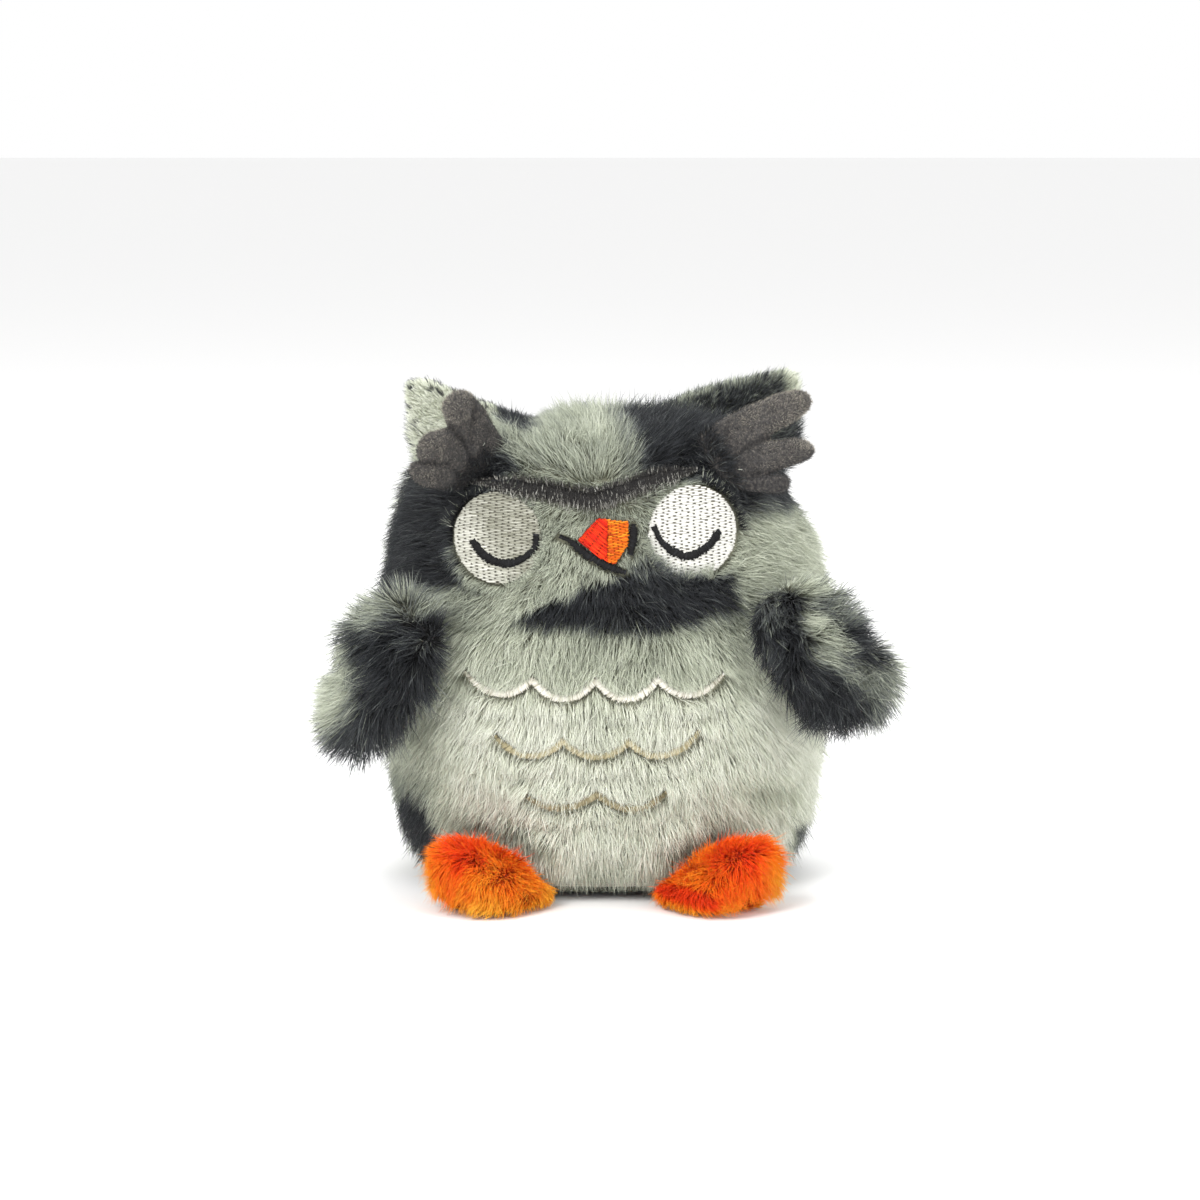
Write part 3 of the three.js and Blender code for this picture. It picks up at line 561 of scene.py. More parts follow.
def noise_material(name, stops, scale, detail, roughness, bump, bump_scale, stretch=(1, 1, 1), sheen=0.0, distance=0.0002):
    material, nodes, links, shader = new_material(name)
    place = nodes.new("ShaderNodeTexCoord")
    mapping = nodes.new("ShaderNodeMapping")
    mapping.inputs["Scale"].default_value = stretch
    links.new(place.outputs["Object"], mapping.inputs["Vector"])
    tone = nodes.new("ShaderNodeTexNoise")
    tone.inputs["Scale"].default_value = scale
    tone.inputs["Detail"].default_value = detail
    links.new(mapping.outputs["Vector"], tone.inputs["Vector"])
    colour = ramp(nodes, stops)
    links.new(tone.outputs["Fac"], colour.inputs["Fac"])
    links.new(colour.outputs["Color"], shader.inputs["Base Color"])
    relief = nodes.new("ShaderNodeTexNoise")
    relief.inputs["Scale"].default_value = bump_scale
    relief.inputs["Detail"].default_value = 3
    links.new(mapping.outputs["Vector"], relief.inputs["Vector"])
    height = nodes.new("ShaderNodeBump")
    height.inputs["Strength"].default_value = bump
    height.inputs["Distance"].default_value = distance
    links.new(relief.outputs["Fac"], height.inputs["Height"])
    links.new(height.outputs["Normal"], shader.inputs["Normal"])
    shader.inputs["Roughness"].default_value = roughness
    shader.inputs["Sheen Weight"].default_value = sheen
    return material


felt_sheet = noise_material("felt_cloth", [(0.3, lin((36, 35, 36))), (0.5, lin((60, 58, 57))), (0.68, lin((92, 87, 82)))], 1400, 4, 0.95, 0.9, 2600, sheen=0.12)
fibre_fill = noise_material("fibre_filling", [(0.3, lin((205, 203, 196))), (0.7, lin((242, 240, 234)))], 500, 6, 0.9, 1.0, 900, stretch=(1, 1, 0.3), sheen=0.3, distance=0.0008)


def woven_material(name, a, b, threads):
    """Plain weave: two crossed sets of threads."""
    material, nodes, links, shader = new_material(name)
    place = nodes.new("ShaderNodeTexCoord")
    waves = []
    for direction in ("X", "Z"):
        wave = nodes.new("ShaderNodeTexWave")
        wave.wave_type = "BANDS"
        wave.bands_direction = direction
        wave.inputs["Scale"].default_value = threads
        wave.inputs["Distortion"].default_value = 0.6
        links.new(place.outputs["Object"], wave.inputs["Vector"])
        waves.append(wave)
    cross = nodes.new("ShaderNodeMath")
    cross.operation = "MAXIMUM"
    links.new(waves[0].outputs["Fac"], cross.inputs[0])
    links.new(waves[1].outputs["Fac"], cross.inputs[1])
    colour = ramp(nodes, [(0.0, a), (1.0, b)])
    links.new(cross.outputs[0], colour.inputs["Fac"])
    links.new(colour.outputs["Color"], shader.inputs["Base Color"])
    height = nodes.new("ShaderNodeBump")
    height.inputs["Strength"].default_value = 0.6
    height.inputs["Distance"].default_value = 0.0002
    links.new(cross.outputs[0], height.inputs["Height"])
    links.new(height.outputs["Normal"], shader.inputs["Normal"])
    shader.inputs["Roughness"].default_value = 0.85
    return material


pouch_cloth = woven_material("pouch_weave", lin((150, 145, 134)), lin((214, 208, 196)), 500)


def thread_material(name, stops, roughness=0.45, specular=0.4, sheen=0.03, sunk_end_shade=0.5):
    """Embroidery thread: each stitch has its own tone across the map, and is painted darker at its ends, as shade where
    it sinks into the cloth.
    """
    material, nodes, links, shader = new_material(name)
    uv = nodes.new("ShaderNodeUVMap")
    uv.uv_map = "OFBake"
    parts = nodes.new("ShaderNodeSeparateXYZ")
    links.new(uv.outputs["UV"], parts.inputs[0])
    tone = ramp(nodes, stops)
    links.new(parts.outputs["X"], tone.inputs["Fac"])
    # painted shade: each stitch darkens toward both ends, where it dips into the cloth
    ends = ramp(nodes, [(0.0, grey(sunk_end_shade)), (0.1, grey(0.9)), (0.3, grey(1.0)), (0.7, grey(1.0)), (0.9, grey(0.9)), (1.0, grey(sunk_end_shade))])
    links.new(parts.outputs["Y"], ends.inputs["Fac"])
    mix = nodes.new("ShaderNodeMix")
    mix.data_type = "RGBA"
    mix.blend_type = "MULTIPLY"
    mix.inputs["Factor"].default_value = 1.0
    links.new(tone.outputs["Color"], mix.inputs["A"])
    links.new(ends.outputs["Color"], mix.inputs["B"])
    links.new(mix.outputs["Result"], shader.inputs["Base Color"])
    twist = nodes.new("ShaderNodeTexWave")
    twist.wave_type = "BANDS"
    twist.bands_direction = "DIAGONAL"
    twist.inputs["Scale"].default_value = 14.0
    twist.inputs["Distortion"].default_value = 1.0
    links.new(uv.outputs["UV"], twist.inputs["Vector"])
    height = nodes.new("ShaderNodeBump")
    height.inputs["Strength"].default_value = 0.35
    height.inputs["Distance"].default_value = 0.00006
    links.new(twist.outputs["Fac"], height.inputs["Height"])
    links.new(height.outputs["Normal"], shader.inputs["Normal"])
    shader.inputs["Roughness"].default_value = roughness
    shader.inputs["Specular IOR Level"].default_value = specular
    shader.inputs["Sheen Weight"].default_value = sheen
    return material


eye_thread = {
    "left": thread_material("eye_thread_white", [(0.0, lin((160, 157, 146))), (0.35, lin((196, 194, 186))), (1.0, lin((224, 223, 217)))]),
    # the right eye's thread is painted darker and greyer: painted shade, as that eye lies in shade
    "right": thread_material("eye_thread_shaded", [(0.0, lin((106, 105, 90))), (0.4, lin((144, 143, 128))), (0.8, lin((194, 193, 181))), (1.0, lin((220, 219, 210)))]),
}
black_thread = thread_material("black_thread", [(0.0, lin((7, 7, 8))), (0.8, lin((16, 16, 18))), (1.0, lin((34, 35, 39)))], roughness=0.5, specular=0.25, sheen=0.0)
beak_thread = {
    "right": thread_material("beak_red_thread", [(0.0, lin((168, 20, 6))), (0.5, lin((214, 36, 9))), (1.0, lin((238, 76, 18)))], roughness=0.5, specular=0.22, sheen=0.0),
    "left": thread_material("beak_orange_thread", [(0.0, lin((176, 58, 6))), (0.5, lin((214, 98, 10))), (1.0, lin((238, 146, 30)))], roughness=0.5, specular=0.22, sheen=0.0),
}
brow_thread = thread_material("brow_thread", [(0.0, lin((17, 15, 15))), (0.35, lin((44, 41, 38))), (0.6, lin((84, 80, 73))), (0.8, lin((148, 146, 138))), (1.0, lin((222, 221, 212)))])
scallop_thread = {
    "top": thread_material("silver_thread", [(0.0, lin((84, 80, 64))), (0.3, lin((172, 167, 148))), (0.6, lin((222, 218, 206))), (1.0, lin((244, 242, 236)))]),
    "middle": thread_material("taupe_thread", [(0.0, lin((66, 62, 48))), (0.3, lin((128, 120, 90))), (0.6, lin((176, 167, 132))), (1.0, lin((214, 207, 182)))]),
    "bottom": thread_material("brown_thread", [(0.0, lin((62, 57, 44))), (0.5, lin((126, 118, 88))), (1.0, lin((182, 173, 142)))]),
}


def pad_material(name, dark, light):
    return noise_material(name, [(0.35, dark), (0.65, light)], 1800, 2, 0.8, 0.5, 2600)


# ---- where the yarn is dark and where it is light -------------------------

# Patches of dark and light yarn, and a few of painted shade, as they show from the front, in a 1200 pixel wide picture:
# outline, shade from 0 dark to 1 light, and how softly the patch ends.
PATCHES = [
    # right side of the head, round the outer rim of the right eye
    ([(366, 606), (376, 550), (380, 500), (392, 468), (420, 452), (452, 462), (492, 474), (500, 488), (470, 500), (452, 520), (446, 556), (462, 590), (440, 592), (418, 584), (398, 592), (384, 612)], 0.08, 7),
    # the head beside the right tuft, and the slope of the right ear
    ([(430, 452), (470, 440), (500, 452), (520, 470), (492, 482), (452, 476)], 0.12, 7),
    ([(482, 394), (508, 398), (532, 410), (544, 422), (526, 430), (504, 420), (484, 408)], 0.16, 6),
    # the whole left side of the forehead, down past the left tuft
    ([(612, 398), (650, 398), (700, 384), (760, 376), (806, 396), (800, 440), (806, 500), (790, 508), (760, 508), (752, 530), (744, 512), (728, 490), (706, 476), (672, 478), (646, 476), (640, 446), (624, 424)], 0.1, 9),
    # a greyer band where light and dark meet on the forehead
    ([(596, 400), (622, 398), (640, 440), (644, 470), (628, 470), (618, 436)], 0.45, 10),
    # painted shade: a dark band under the roll of the chin
    ([(512, 625), (548, 604), (591, 590), (633, 578), (664, 566), (700, 574), (738, 580), (742, 612), (702, 622), (664, 634), (640, 636), (568, 628), (530, 634)], 0.1, 6),
    ([(636, 560), (668, 556), (690, 574), (650, 584), (628, 576)], 0.3, 9),
    # left cheek: a dark streak behind the eye
    ([(742, 504), (790, 498), (786, 514), (752, 522)], 0.3, 7),
    # back cloth beside the right foot and a dark lock beside the left one
    ([(374, 752), (400, 776), (426, 808), (442, 846), (442, 880), (396, 882), (368, 830)], 0.1, 7),
    ([(790, 826), (816, 820), (820, 872), (800, 876), (792, 850)], 0.22, 6),
    # smudges on the belly
    ([(384, 766), (420, 772), (432, 792), (404, 800), (388, 788)], 0.56, 14),
    ([(738, 520), (800, 516), (836, 560), (840, 600), (760, 604), (744, 560)], 0.7, 14),
    ([(740, 790), (780, 780), (800, 800), (760, 812)], 0.62, 16),
    # painted shade on the belly just above both feet
    ([(436, 822), (470, 820), (512, 832), (548, 850), (556, 862), (536, 858), (500, 842), (462, 834)], 0.5, 7),
    ([(664, 866), (688, 842), (724, 828), (746, 830), (718, 850), (690, 870)], 0.5, 8),
]
WING_PATCHES = {
    "right": [
        ([(330, 640), (356, 604), (404, 596), (440, 606), (460, 632), (446, 664), (436, 704), (410, 732), (376, 764), (340, 762), (318, 750), (352, 724), (356, 700), (350, 668)], 0.11, 9),
        ([(340, 634), (348, 600), (394, 572), (456, 576), (462, 608), (420, 620), (376, 628)], 0.45, 11),
        ([(318, 646), (340, 652), (354, 672), (352, 690), (342, 708), (328, 726), (312, 744), (296, 736), (296, 650)], 0.66, 12),
        ([(320, 748), (350, 732), (392, 742), (366, 778), (328, 776)], 0.14, 9),
    ],
    "left": [
        ([(736, 590), (756, 584), (764, 616), (768, 660), (780, 700), (752, 676)], 0.08, 8),
        ([(762, 600), (800, 590), (812, 612), (800, 640), (806, 664), (780, 672), (764, 640)], 0.18, 9),
        ([(770, 690), (792, 660), (846, 672), (870, 700), (856, 742), (812, 740), (784, 720)], 0.09, 9),
        ([(846, 620), (868, 628), (900, 652), (904, 670), (872, 672), (850, 652)], 0.16, 8),
        ([(806, 592), (832, 596), (856, 616), (846, 626), (820, 610)], 0.42, 8),
        ([(806, 612), (826, 616), (850, 638), (858, 654), (846, 660), (826, 646), (806, 630)], 0.66, 6),
        ([(808, 640), (830, 648), (858, 676), (850, 684), (824, 664)], 0.58, 6),
        ([(766, 560), (812, 560), (836, 590), (810, 596), (774, 588)], 0.6, 9),
        ([(862, 668), (904, 668), (910, 704), (884, 706), (862, 690)], 0.42, 9),
        ([(796, 736), (852, 746), (850, 764), (800, 760)], 0.4, 8),
    ],
}
PATCHES = [(np.array(o, float), v, s) for o, v, s in PATCHES]
WING_PATCHES = {k: [(np.array(o, float), v, s) for o, v, s in p] for k, p in WING_PATCHES.items()}


LIGHT_BASE = 0.82
SHADE_DOWN = [0.57, 0.59, 0.59, 0.57, 0.6, 0.73, 0.81, 0.9, 0.9, 0.72, 0.46]


def tie_dye(p, seed):
    """The random dark and light patches of the cloth on the sides, back and top."""
    v = noise(p, 26, seed) + 0.55 * noise(p, 12, seed + 7) + 0.2 * noise(p, 5, seed + 9)
    return 0.12 + 0.7 * smooth(0.5 + 1.25 * (v + 0.06))


def pile_shade(p, normal, patches=PATCHES, light=LIGHT_BASE, seed=41):
    """Shade of the yarn whose visible part is at p."""
    q = project(p)
    wobble = noise3(p, 4.5, 61)[..., :2] * 4.0 + noise3(p, 1.8, 67)[..., :2] * 2.0
    aside = 1 - smooth((normal @ BACK - 0.1) / 0.4)
    q = q + wobble + noise3(p, 11, 63)[..., :2] * (16.0 * aside)[..., None]
    front = light + 0.08 * noise(p, 11, 71) + 0.06 * noise(p, 4, 73) + 0.05 * noise(p, 1.9, 75)
    if patches is PATCHES:
        front = front + np.interp(q[..., 1], [400, 470, 500, 560, 620, 655, 690, 708, 864, 882, 896], SHADE_DOWN) - LIGHT_BASE
        front = front - 0.19 * smooth((480 - q[..., 0]) / 60) * smooth((q[..., 1] - 640) / 40)
    for outline, value, soft in patches:
        w = smooth(0.5 - outline_distance(q, outline) / (2 * soft))
        front = front + (value - front) * w
    facing = smooth((normal @ BACK + 0.12) / 0.3)
    return front * facing + tie_dye(p, seed) * (1 - facing)


# ---- pile -----------------------------------------------------------------

RINGS = np.array([0.0, 0.36, 0.7, 1.0])
MOST_STRANDS = 12300
strand_total = 0


def scatter(points, quads, density, seed, normals=None):
    """Evenly spread points on a quad surface: positions and normals."""
    tris = np.concatenate([quads[:, [0, 1, 2]], quads[:, [0, 2, 3]]]).reshape(2, -1, 3).transpose(1, 0, 2).reshape(-1, 3)
    a, b, c = (points[tris[:, k]] for k in range(3))
    area = np.linalg.norm(np.cross(b - a, c - a), axis=1) / 2
    total = np.cumsum(area)
    n = int(total[-1] * density)
    r = np.random.default_rng(seed)
    pick = np.searchsorted(total, (np.arange(n) + r.random(n)) / n * total[-1])
    pick = np.minimum(pick, len(tris) - 1)
    u, v = r.random(n), r.random(n)
    flip = u + v > 1
    u[flip], v[flip] = 1 - u[flip], 1 - v[flip]
    w = np.stack([1 - u - v, u, v], -1)[..., None]
    if normals is None:
        normals = vertex_normals(points, quads)
    place = (points[tris[pick]] * w).sum(1)
    normal = unit((normals[tris[pick]] * w).sum(1))
    return place, normal


def vertex_normals(points, quads):
    face = np.cross(points[quads[:, 2]] - points[quads[:, 0]], points[quads[:, 3]] - points[quads[:, 1]])
    out = np.zeros_like(points)
    for k in range(4):
        np.add.at(out, quads[:, k], face)
    return unit(out)


def gather(pts, roots, length, loose, strength, spacing, keep_apart, r):
    """Draws the tips of neighbouring strands together."""
    n = len(roots)
    count = max(int(n * min(1.0, 0.3 / spacing**2)), 8)
    guides = r.choice(n, count, replace=False)
    tree = KDTree(count)
    for i, g in enumerate(guides):
        tree.insert(roots[g], i)
    tree.balance()
    near = np.array([tree.find(p)[1] for p in roots])
    g = guides[near]
    pull_all = strength * (0.55 + 0.45 * r.random(n)) * np.where(loose, 0.15, 1.0)
    ratio = np.clip(length / np.maximum(length[g], 0.1), 0, 1.15)
    start = pts.copy()
    for k in range(1, 4):
        pull = (pull_all * RINGS[k] ** 1.4)[:, None]
        goal = start[g, 0] + (start[g, k] - start[g, 0]) * ratio[:, None] + keep_apart * (start[:, 0] - start[g, 0])
        pts[:, k] = start[:, k] + pull * (goal - start[:, k])
    return pts


def grow(roots, normals, flow, length, lean, seed, clump=0.55, spacing=1.7, curl=0.36, wisp=0.12, tufts=0.3, uneven=1.0, frizz=0.3):
    """Bent strands: they leave the cloth at lean[0] degrees from its normal, and lie over to lean[1] along flow."""
    r = np.random.default_rng(seed)
    n = len(roots)
    flow = flow + curl * noise3(roots, 6.5, seed + 3) + 0.7 * curl * noise3(roots, 2.4, seed + 5) + frizz * r.normal(size=(n, 3))
    flow = unit(flow - (flow * normals).sum(1, keepdims=True) * normals)
    loose = r.random(n) < wisp
    lumps = uneven * noise(roots, 5.5, seed + 11)
    first = np.radians(lean[0] + 12 * lumps + 5 * noise(roots, 2.2, seed + 12) + (4 + 12 * frizz) * r.normal(size=n))
    last = np.radians(lean[1] + 10 * lumps + 5 * noise(roots, 2.2, seed + 13) + (3 + 12 * frizz) * r.normal(size=n))
    last = np.where(loose, last - np.radians(10 + 20 * r.random(n)), last)
    length = np.where(loose, length * 1.18, length)
    pts = np.zeros((n, 4, 3))
    pts[:, 0] = roots - 0.25 * normals
    for k in range(1, 4):
        mid = (RINGS[k - 1] + RINGS[k]) / 2
        lean_now = (first + (last - first) * mid)[:, None]
        pts[:, k] = pts[:, k - 1] + (np.cos(lean_now) * normals + np.sin(lean_now) * flow) * (length * (RINGS[k] - RINGS[k - 1]))[:, None]
    if tufts > 0 and n > 200:
        pts = gather(pts, roots, length, loose, tufts, spacing * 3.0, 0.5, r)
    if clump > 0 and n > 50:
        pts = gather(pts, roots, length, loose, clump, spacing, 0.3, r)
    return pts


TEMPLATE = []
for _k in range(2):
    for _j in range(3):
        _a, _b2 = 3 * _k + _j, 3 * _k + (_j + 1) % 3
        TEMPLATE += [[_a, _b2, _b2 + 3], [_a, _b2 + 3, _a + 3]]
TEMPLATE += [[6, 7, 9], [7, 8, 9], [8, 6, 9], [0, 2, 1]]
TEMPLATE = np.array(TEMPLATE)


def strands(name, pts, radius, shade, material):
    """One mesh of closed three-sided fibres."""
    global strand_total
    n = len(pts)
    strand_total += n
    r = np.random.default_rng(len(name) * 977 + n)
    along = unit(pts[:, 3] - pts[:, 0])
    side = unit(np.cross(along, unit(r.normal(size=(n, 3)))))
    over = np.cross(along, side)
    verts = np.zeros((n, 10, 3))
    taper = np.array([0.95, 0.85, 0.5])
    for k in range(3):
        for j in range(3):
            angle = 2 * math.pi * j / 3
            offset = math.cos(angle) * side + math.sin(angle) * over
            verts[:, 3 * k + j] = pts[:, k] + offset * (radius * taper[k])[:, None]
    verts[:, 9] = pts[:, 3]
    verts[..., 2] = np.maximum(verts[..., 2], 0.15 + 0.01 * np.arange(10))
    faces = (TEMPLATE[None] + 10 * np.arange(n)[:, None, None]).reshape(-1, 3)
    obj = make_object(name, verts, [faces], material)
    shade = np.clip(shade, 0.0, 0.985)
    shade[0], shade[-1] = 0.005, 0.985
    uv = np.zeros((n, 10, 2))
    for k in range(3):
        for j, du in enumerate((0.0, 0.012, 0.006)):
            uv[:, 3 * k + j, 0] = shade + du
            uv[:, 3 * k + j, 1] = RINGS[k]
    uv[:, 9, 0] = shade + 0.006
    uv[:, 9, 1] = 1.0
    set_uv(obj, uv.reshape(-1, 2))
    return obj


def plant(name, pts, radius, shade, material, hold, key):
    """Splits strands into meshes of a fair size, in order of key, and hands each to hold."""
    order = np.argsort(key, kind="stable")
    parts = math.ceil(len(order) / MOST_STRANDS)
    made = []
    for i, part in enumerate(np.array_split(order, parts)):
        label = name if parts == 1 else f"{name}_{i + 1}"
        obj = strands(label, pts[part], radius[part], shade[part], material)
        hold(obj)
        made.append(obj)
    return made


def shorten(pts, allow, kinds):
    """Cuts strands back where they would lie on the stitching, but for allow mm past its edge."""
    n = len(pts)
    root = pts[:, 0]
    keep = np.ones(n)
    near = (root[:, 1] < -18) & (clear_of_stitching(root[:, 0], root[:, 2], kinds) < 11)
    rows = np.flatnonzero(near)
    if not len(rows):
        return pts
    blocked = np.zeros(len(rows), bool)
    limit = np.ones(len(rows))
    for t in np.linspace(0.15, 1.0, 8):
        k = int(np.searchsorted(RINGS, t)) - 1
        f = (t - RINGS[k]) / (RINGS[k + 1] - RINGS[k])
        p = pts[rows, k] * (1 - f) + pts[rows, k + 1] * f
        over = clear_of_stitching(p[:, 0], p[:, 2], kinds) < -allow[rows]
        fresh = over & ~blocked
        limit[fresh] = max(t - 0.1, 0.1)
        blocked |= over
    keep[rows] = limit
    out = pts.copy()
    for k in range(1, 4):
        t = RINGS[k] * keep
        j = np.clip(np.searchsorted(RINGS, t, side="left") - 1, 0, 2)
        f = ((t - RINGS[j]) / (RINGS[j + 1] - RINGS[j]))[:, None]
        rows_all = np.arange(n)
        out[:, k] = pts[rows_all, j] * (1 - f) + pts[rows_all, j + 1] * f
    return out


# ---- body and head cloth --------------------------------------------------

SKIN = 4.4  # how deep the cloth lies under the outer surface, which the tips of the pile reach
CLOTH = 0.6
TEMPLE = 2.2  # how much flatter the left temple is stuffed


def skin_depth(p, a):
    x, y, z = p[..., 0], p[..., 1], p[..., 2]
    depth = SKIN + 0.22 * noise(p, 9, 5) + 0.12 * noise(p, 4, 6)
    depth += 0.1 * np.exp(-(((z - NECK) / 2.6) ** 2))
    depth += TEMPLE * np.exp(-(((z - 101) / 10.0) ** 2)) * smooth((x - 36) / 9)
    depth -= 1.0 * np.maximum(np.cos(a), 0) * np.exp(-(((z - 76.5) / 3.8) ** 2))
    seam_y = np.interp(z, SIDE_SEAM[:, 1], SIDE_SEAM[:, 0])
    depth += 0.3 * np.exp(-(((y - seam_y) / 1.4) ** 2))
    back = smooth((y - 5) / 10)
    depth += 0.3 * back * np.exp(-((x / 1.4) ** 2))
    front = y < -12
    flat = p.reshape(-1, 3)
    clear = clear_of_stitching(flat[:, 0], flat[:, 2], ("eye", "beak", "mouth", "scallop")).reshape(x.shape)
    goal = np.where(z > 75, 3.15, 3.2)
    depth = np.where(front, depth + (goal - depth) * smooth(1 - (clear - 0.4) / 4.0), depth)
    d, share = line_distance(flat[:, ::2], BROW)
    brow = (d - brow_half_width(share)).reshape(x.shape)
    depth = np.where(front, depth + (2.9 - depth) * smooth(1 - (brow - 0.2) / 2.6), depth)
    return depth


def cloth_grid(s, a, pull_in=0.5):
    """Outer and inner points of a cloth over the stuffing, with turned-in edges."""
    p = surface(s, a)
    normal = surface_normal(s, a)
    depth = skin_depth(p, a)
    rows, cols = s.shape
    edge = np.minimum.reduce(np.broadcast_arrays(np.arange(rows)[:, None], np.arange(rows)[::-1][:, None], np.arange(cols)[None], np.arange(cols)[::-1][None]))
    depth = depth + pull_in * np.clip(1 - edge / 1.5, 0, 1)
    return p - normal * depth[..., None], p - normal * (depth + CLOTH)[..., None], normal


def belly_region(rows=74, cols=120):
    u = np.linspace(0, 1, rows)[:, None]
    v = np.linspace(-1, 1, cols)[None]
    z = 3.35 + (69.9 - 3.35) * u + 0 * v
    return arc_of(z), v * (seam_angle(z) - 0.004)


def back_region(sign, rows=60, cols=64):
    u = np.linspace(0, 1, rows)[:, None]
    v = np.linspace(0, 1, cols)[None]
    z = 3.35 + (69.9 - 3.35) * u + 0 * v
    a0 = seam_angle(z) + 0.004
    a = a0 + (math.pi - 0.003 - a0) * v
    return (arc_of(z), a) if sign > 0 else (arc_of(z)[:, ::-1], -a[:, ::-1])


def face_region(rows=56, cols=120):
    v = np.linspace(-1, 1, cols)[None] + np.zeros((rows, 1))
    u = np.linspace(0, 1, rows)[:, None] + 0 * v
    top = np.full(v.shape, 104.0)
    for _ in range(14):
        a = v * (seam_angle(top) - 0.004)
        x = surface(arc_of(top), a)[..., 0]
        top = 0.5 * top + 0.5 * (brow_height(x) - 0.12)
    z = 70.1 + (top - 70.1) * u
    return arc_of(z), v * (seam_angle(z) - 0.004), top


def forehead_region(rows=44, cols=110):
    v = np.linspace(-1, 1, cols)[None] + np.zeros((rows, 1))
    low = np.full(v.shape, 104.0)
    for _ in range(14):
        a = v * (math.pi / 2 - 0.004)
        x = surface(arc_of(low), a)[..., 0]
        low = 0.5 * low + 0.5 * (brow_height(x) + 0.12)
    u = np.linspace(0, 1, rows)[:, None] + 0 * v
    s0 = arc_of(low)
    return s0 + (TOP - 0.05 - s0) * u, v * (math.pi / 2 - 0.004)


def back_head_region(sign, rows=70, cols=60):
    u = np.linspace(0, 1, rows)[:, None]
    v = np.linspace(0, 1, cols)[None]
    s = arc_of(70.1) + (TOP - 0.05 - arc_of(70.1)) * u + 0 * v
    z = np.interp(s, ARC, TABLE[:, 0])
    a0 = seam_angle(z) + 0.004
    a = a0 + (math.pi - 0.003 - a0) * v
    return (s, a) if sign > 0 else (s[:, ::-1], -a[:, ::-1])


def down_along(normals, direction):
    d = np.broadcast_to(np.array(direction, float), normals.shape)
    return unit(d - (d * normals).sum(-1, keepdims=True) * normals)


def body_flow(p, normal):
    """The pile of the body lies down and a little out to the sides."""
    out = np.stack([0.012 * p[:, 0] * (p[:, 1] < 10), 0 * p[:, 0], -np.ones(len(p))], -1)
    return unit(out - (out * normal).sum(1, keepdims=True) * normal)


def face_flow(p, normal):
    """On the face it spreads from the bridge of the beak, down and out."""
    x, z = p[:, 0], p[:, 2]
    out = np.stack([(x - 0.5) * 0.045, 0 * x, (z - 99) * 0.03 - 0.55], -1)
    side = smooth((np.abs(x) - 26) / 18)
    out[:, 0] += np.sign(x) * 0.55 * side
    above = smooth((z - 96.5) / 3.0) * (1 - side)
    out[:, 2] += 0.5 * above
    return unit(out - (out * normal).sum(1, keepdims=True) * normal)


def forehead_flow(p, normal):
    """It fans up and back from the middle of the brow, but for a short fringe that hangs on the brow."""
    x, z = p[:, 0], p[:, 2]
    rise = z - brow_height(x)
    fan = np.stack([(x - 0.5) * 0.05, 0 * x, np.full(len(p), 1.0)], -1)
    fan = fan / np.linalg.norm(fan, axis=1, keepdims=True)
    over = smooth((z - 114) / 4.5)[:, None]
    crest = np.stack([(x - 0.5) * 0.05, np.full(len(p), 0.75), 0 * x], -1)
    fan = fan * (1 - over) + crest * over
    hang = np.stack([0.01 * x, 0 * x, -np.ones(len(p))], -1)
    w = smooth(1 - (rise - 2.2) / 1.6)[:, None]
    out = fan * (1 - w) + hang * w
    return unit(out - (out * normal).sum(1, keepdims=True) * normal)


def crown_flow(p, normal):
    """Behind the crown seam the pile runs back and then down."""
    over = smooth((p[:, 2] - 108) / 8)[:, None]
    back = np.stack([0 * p[:, 0], np.full(len(p), 1.0), 0 * p[:, 0]], -1)
    fall = np.stack([0 * p[:, 0], 0 * p[:, 0], -np.ones(len(p))], -1)
    out = back * over + fall * (1 - over)
    return unit(out - (out * normal).sum(1, keepdims=True) * normal)


def hold_torso(obj):
    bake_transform(obj)


def hold_head(obj):
    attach(obj, "head")


def arch(x, y):
    """How far the front of the base lifts off the ground between the feet."""
    return 1.5 * smooth((-y - 20) / 12) * smooth((22 - np.abs(x)) / 9)


def make_cloth(name, region, hold, nodes):
    s, a = region[:2]
    outer, inner, normal = cloth_grid(s, a)
    verts, faces, quads = shell(outer, inner)
    obj = make_object(name, verts, faces, body_backing)
    p = outer.reshape(-1, 3)
    shade = pile_shade(p, normal.reshape(-1, 3))
    set_shade(obj, np.concatenate([shade, shade]))
    weld(obj, 0.02)
    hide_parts(*nodes)
    hold(obj)
    return p, quads


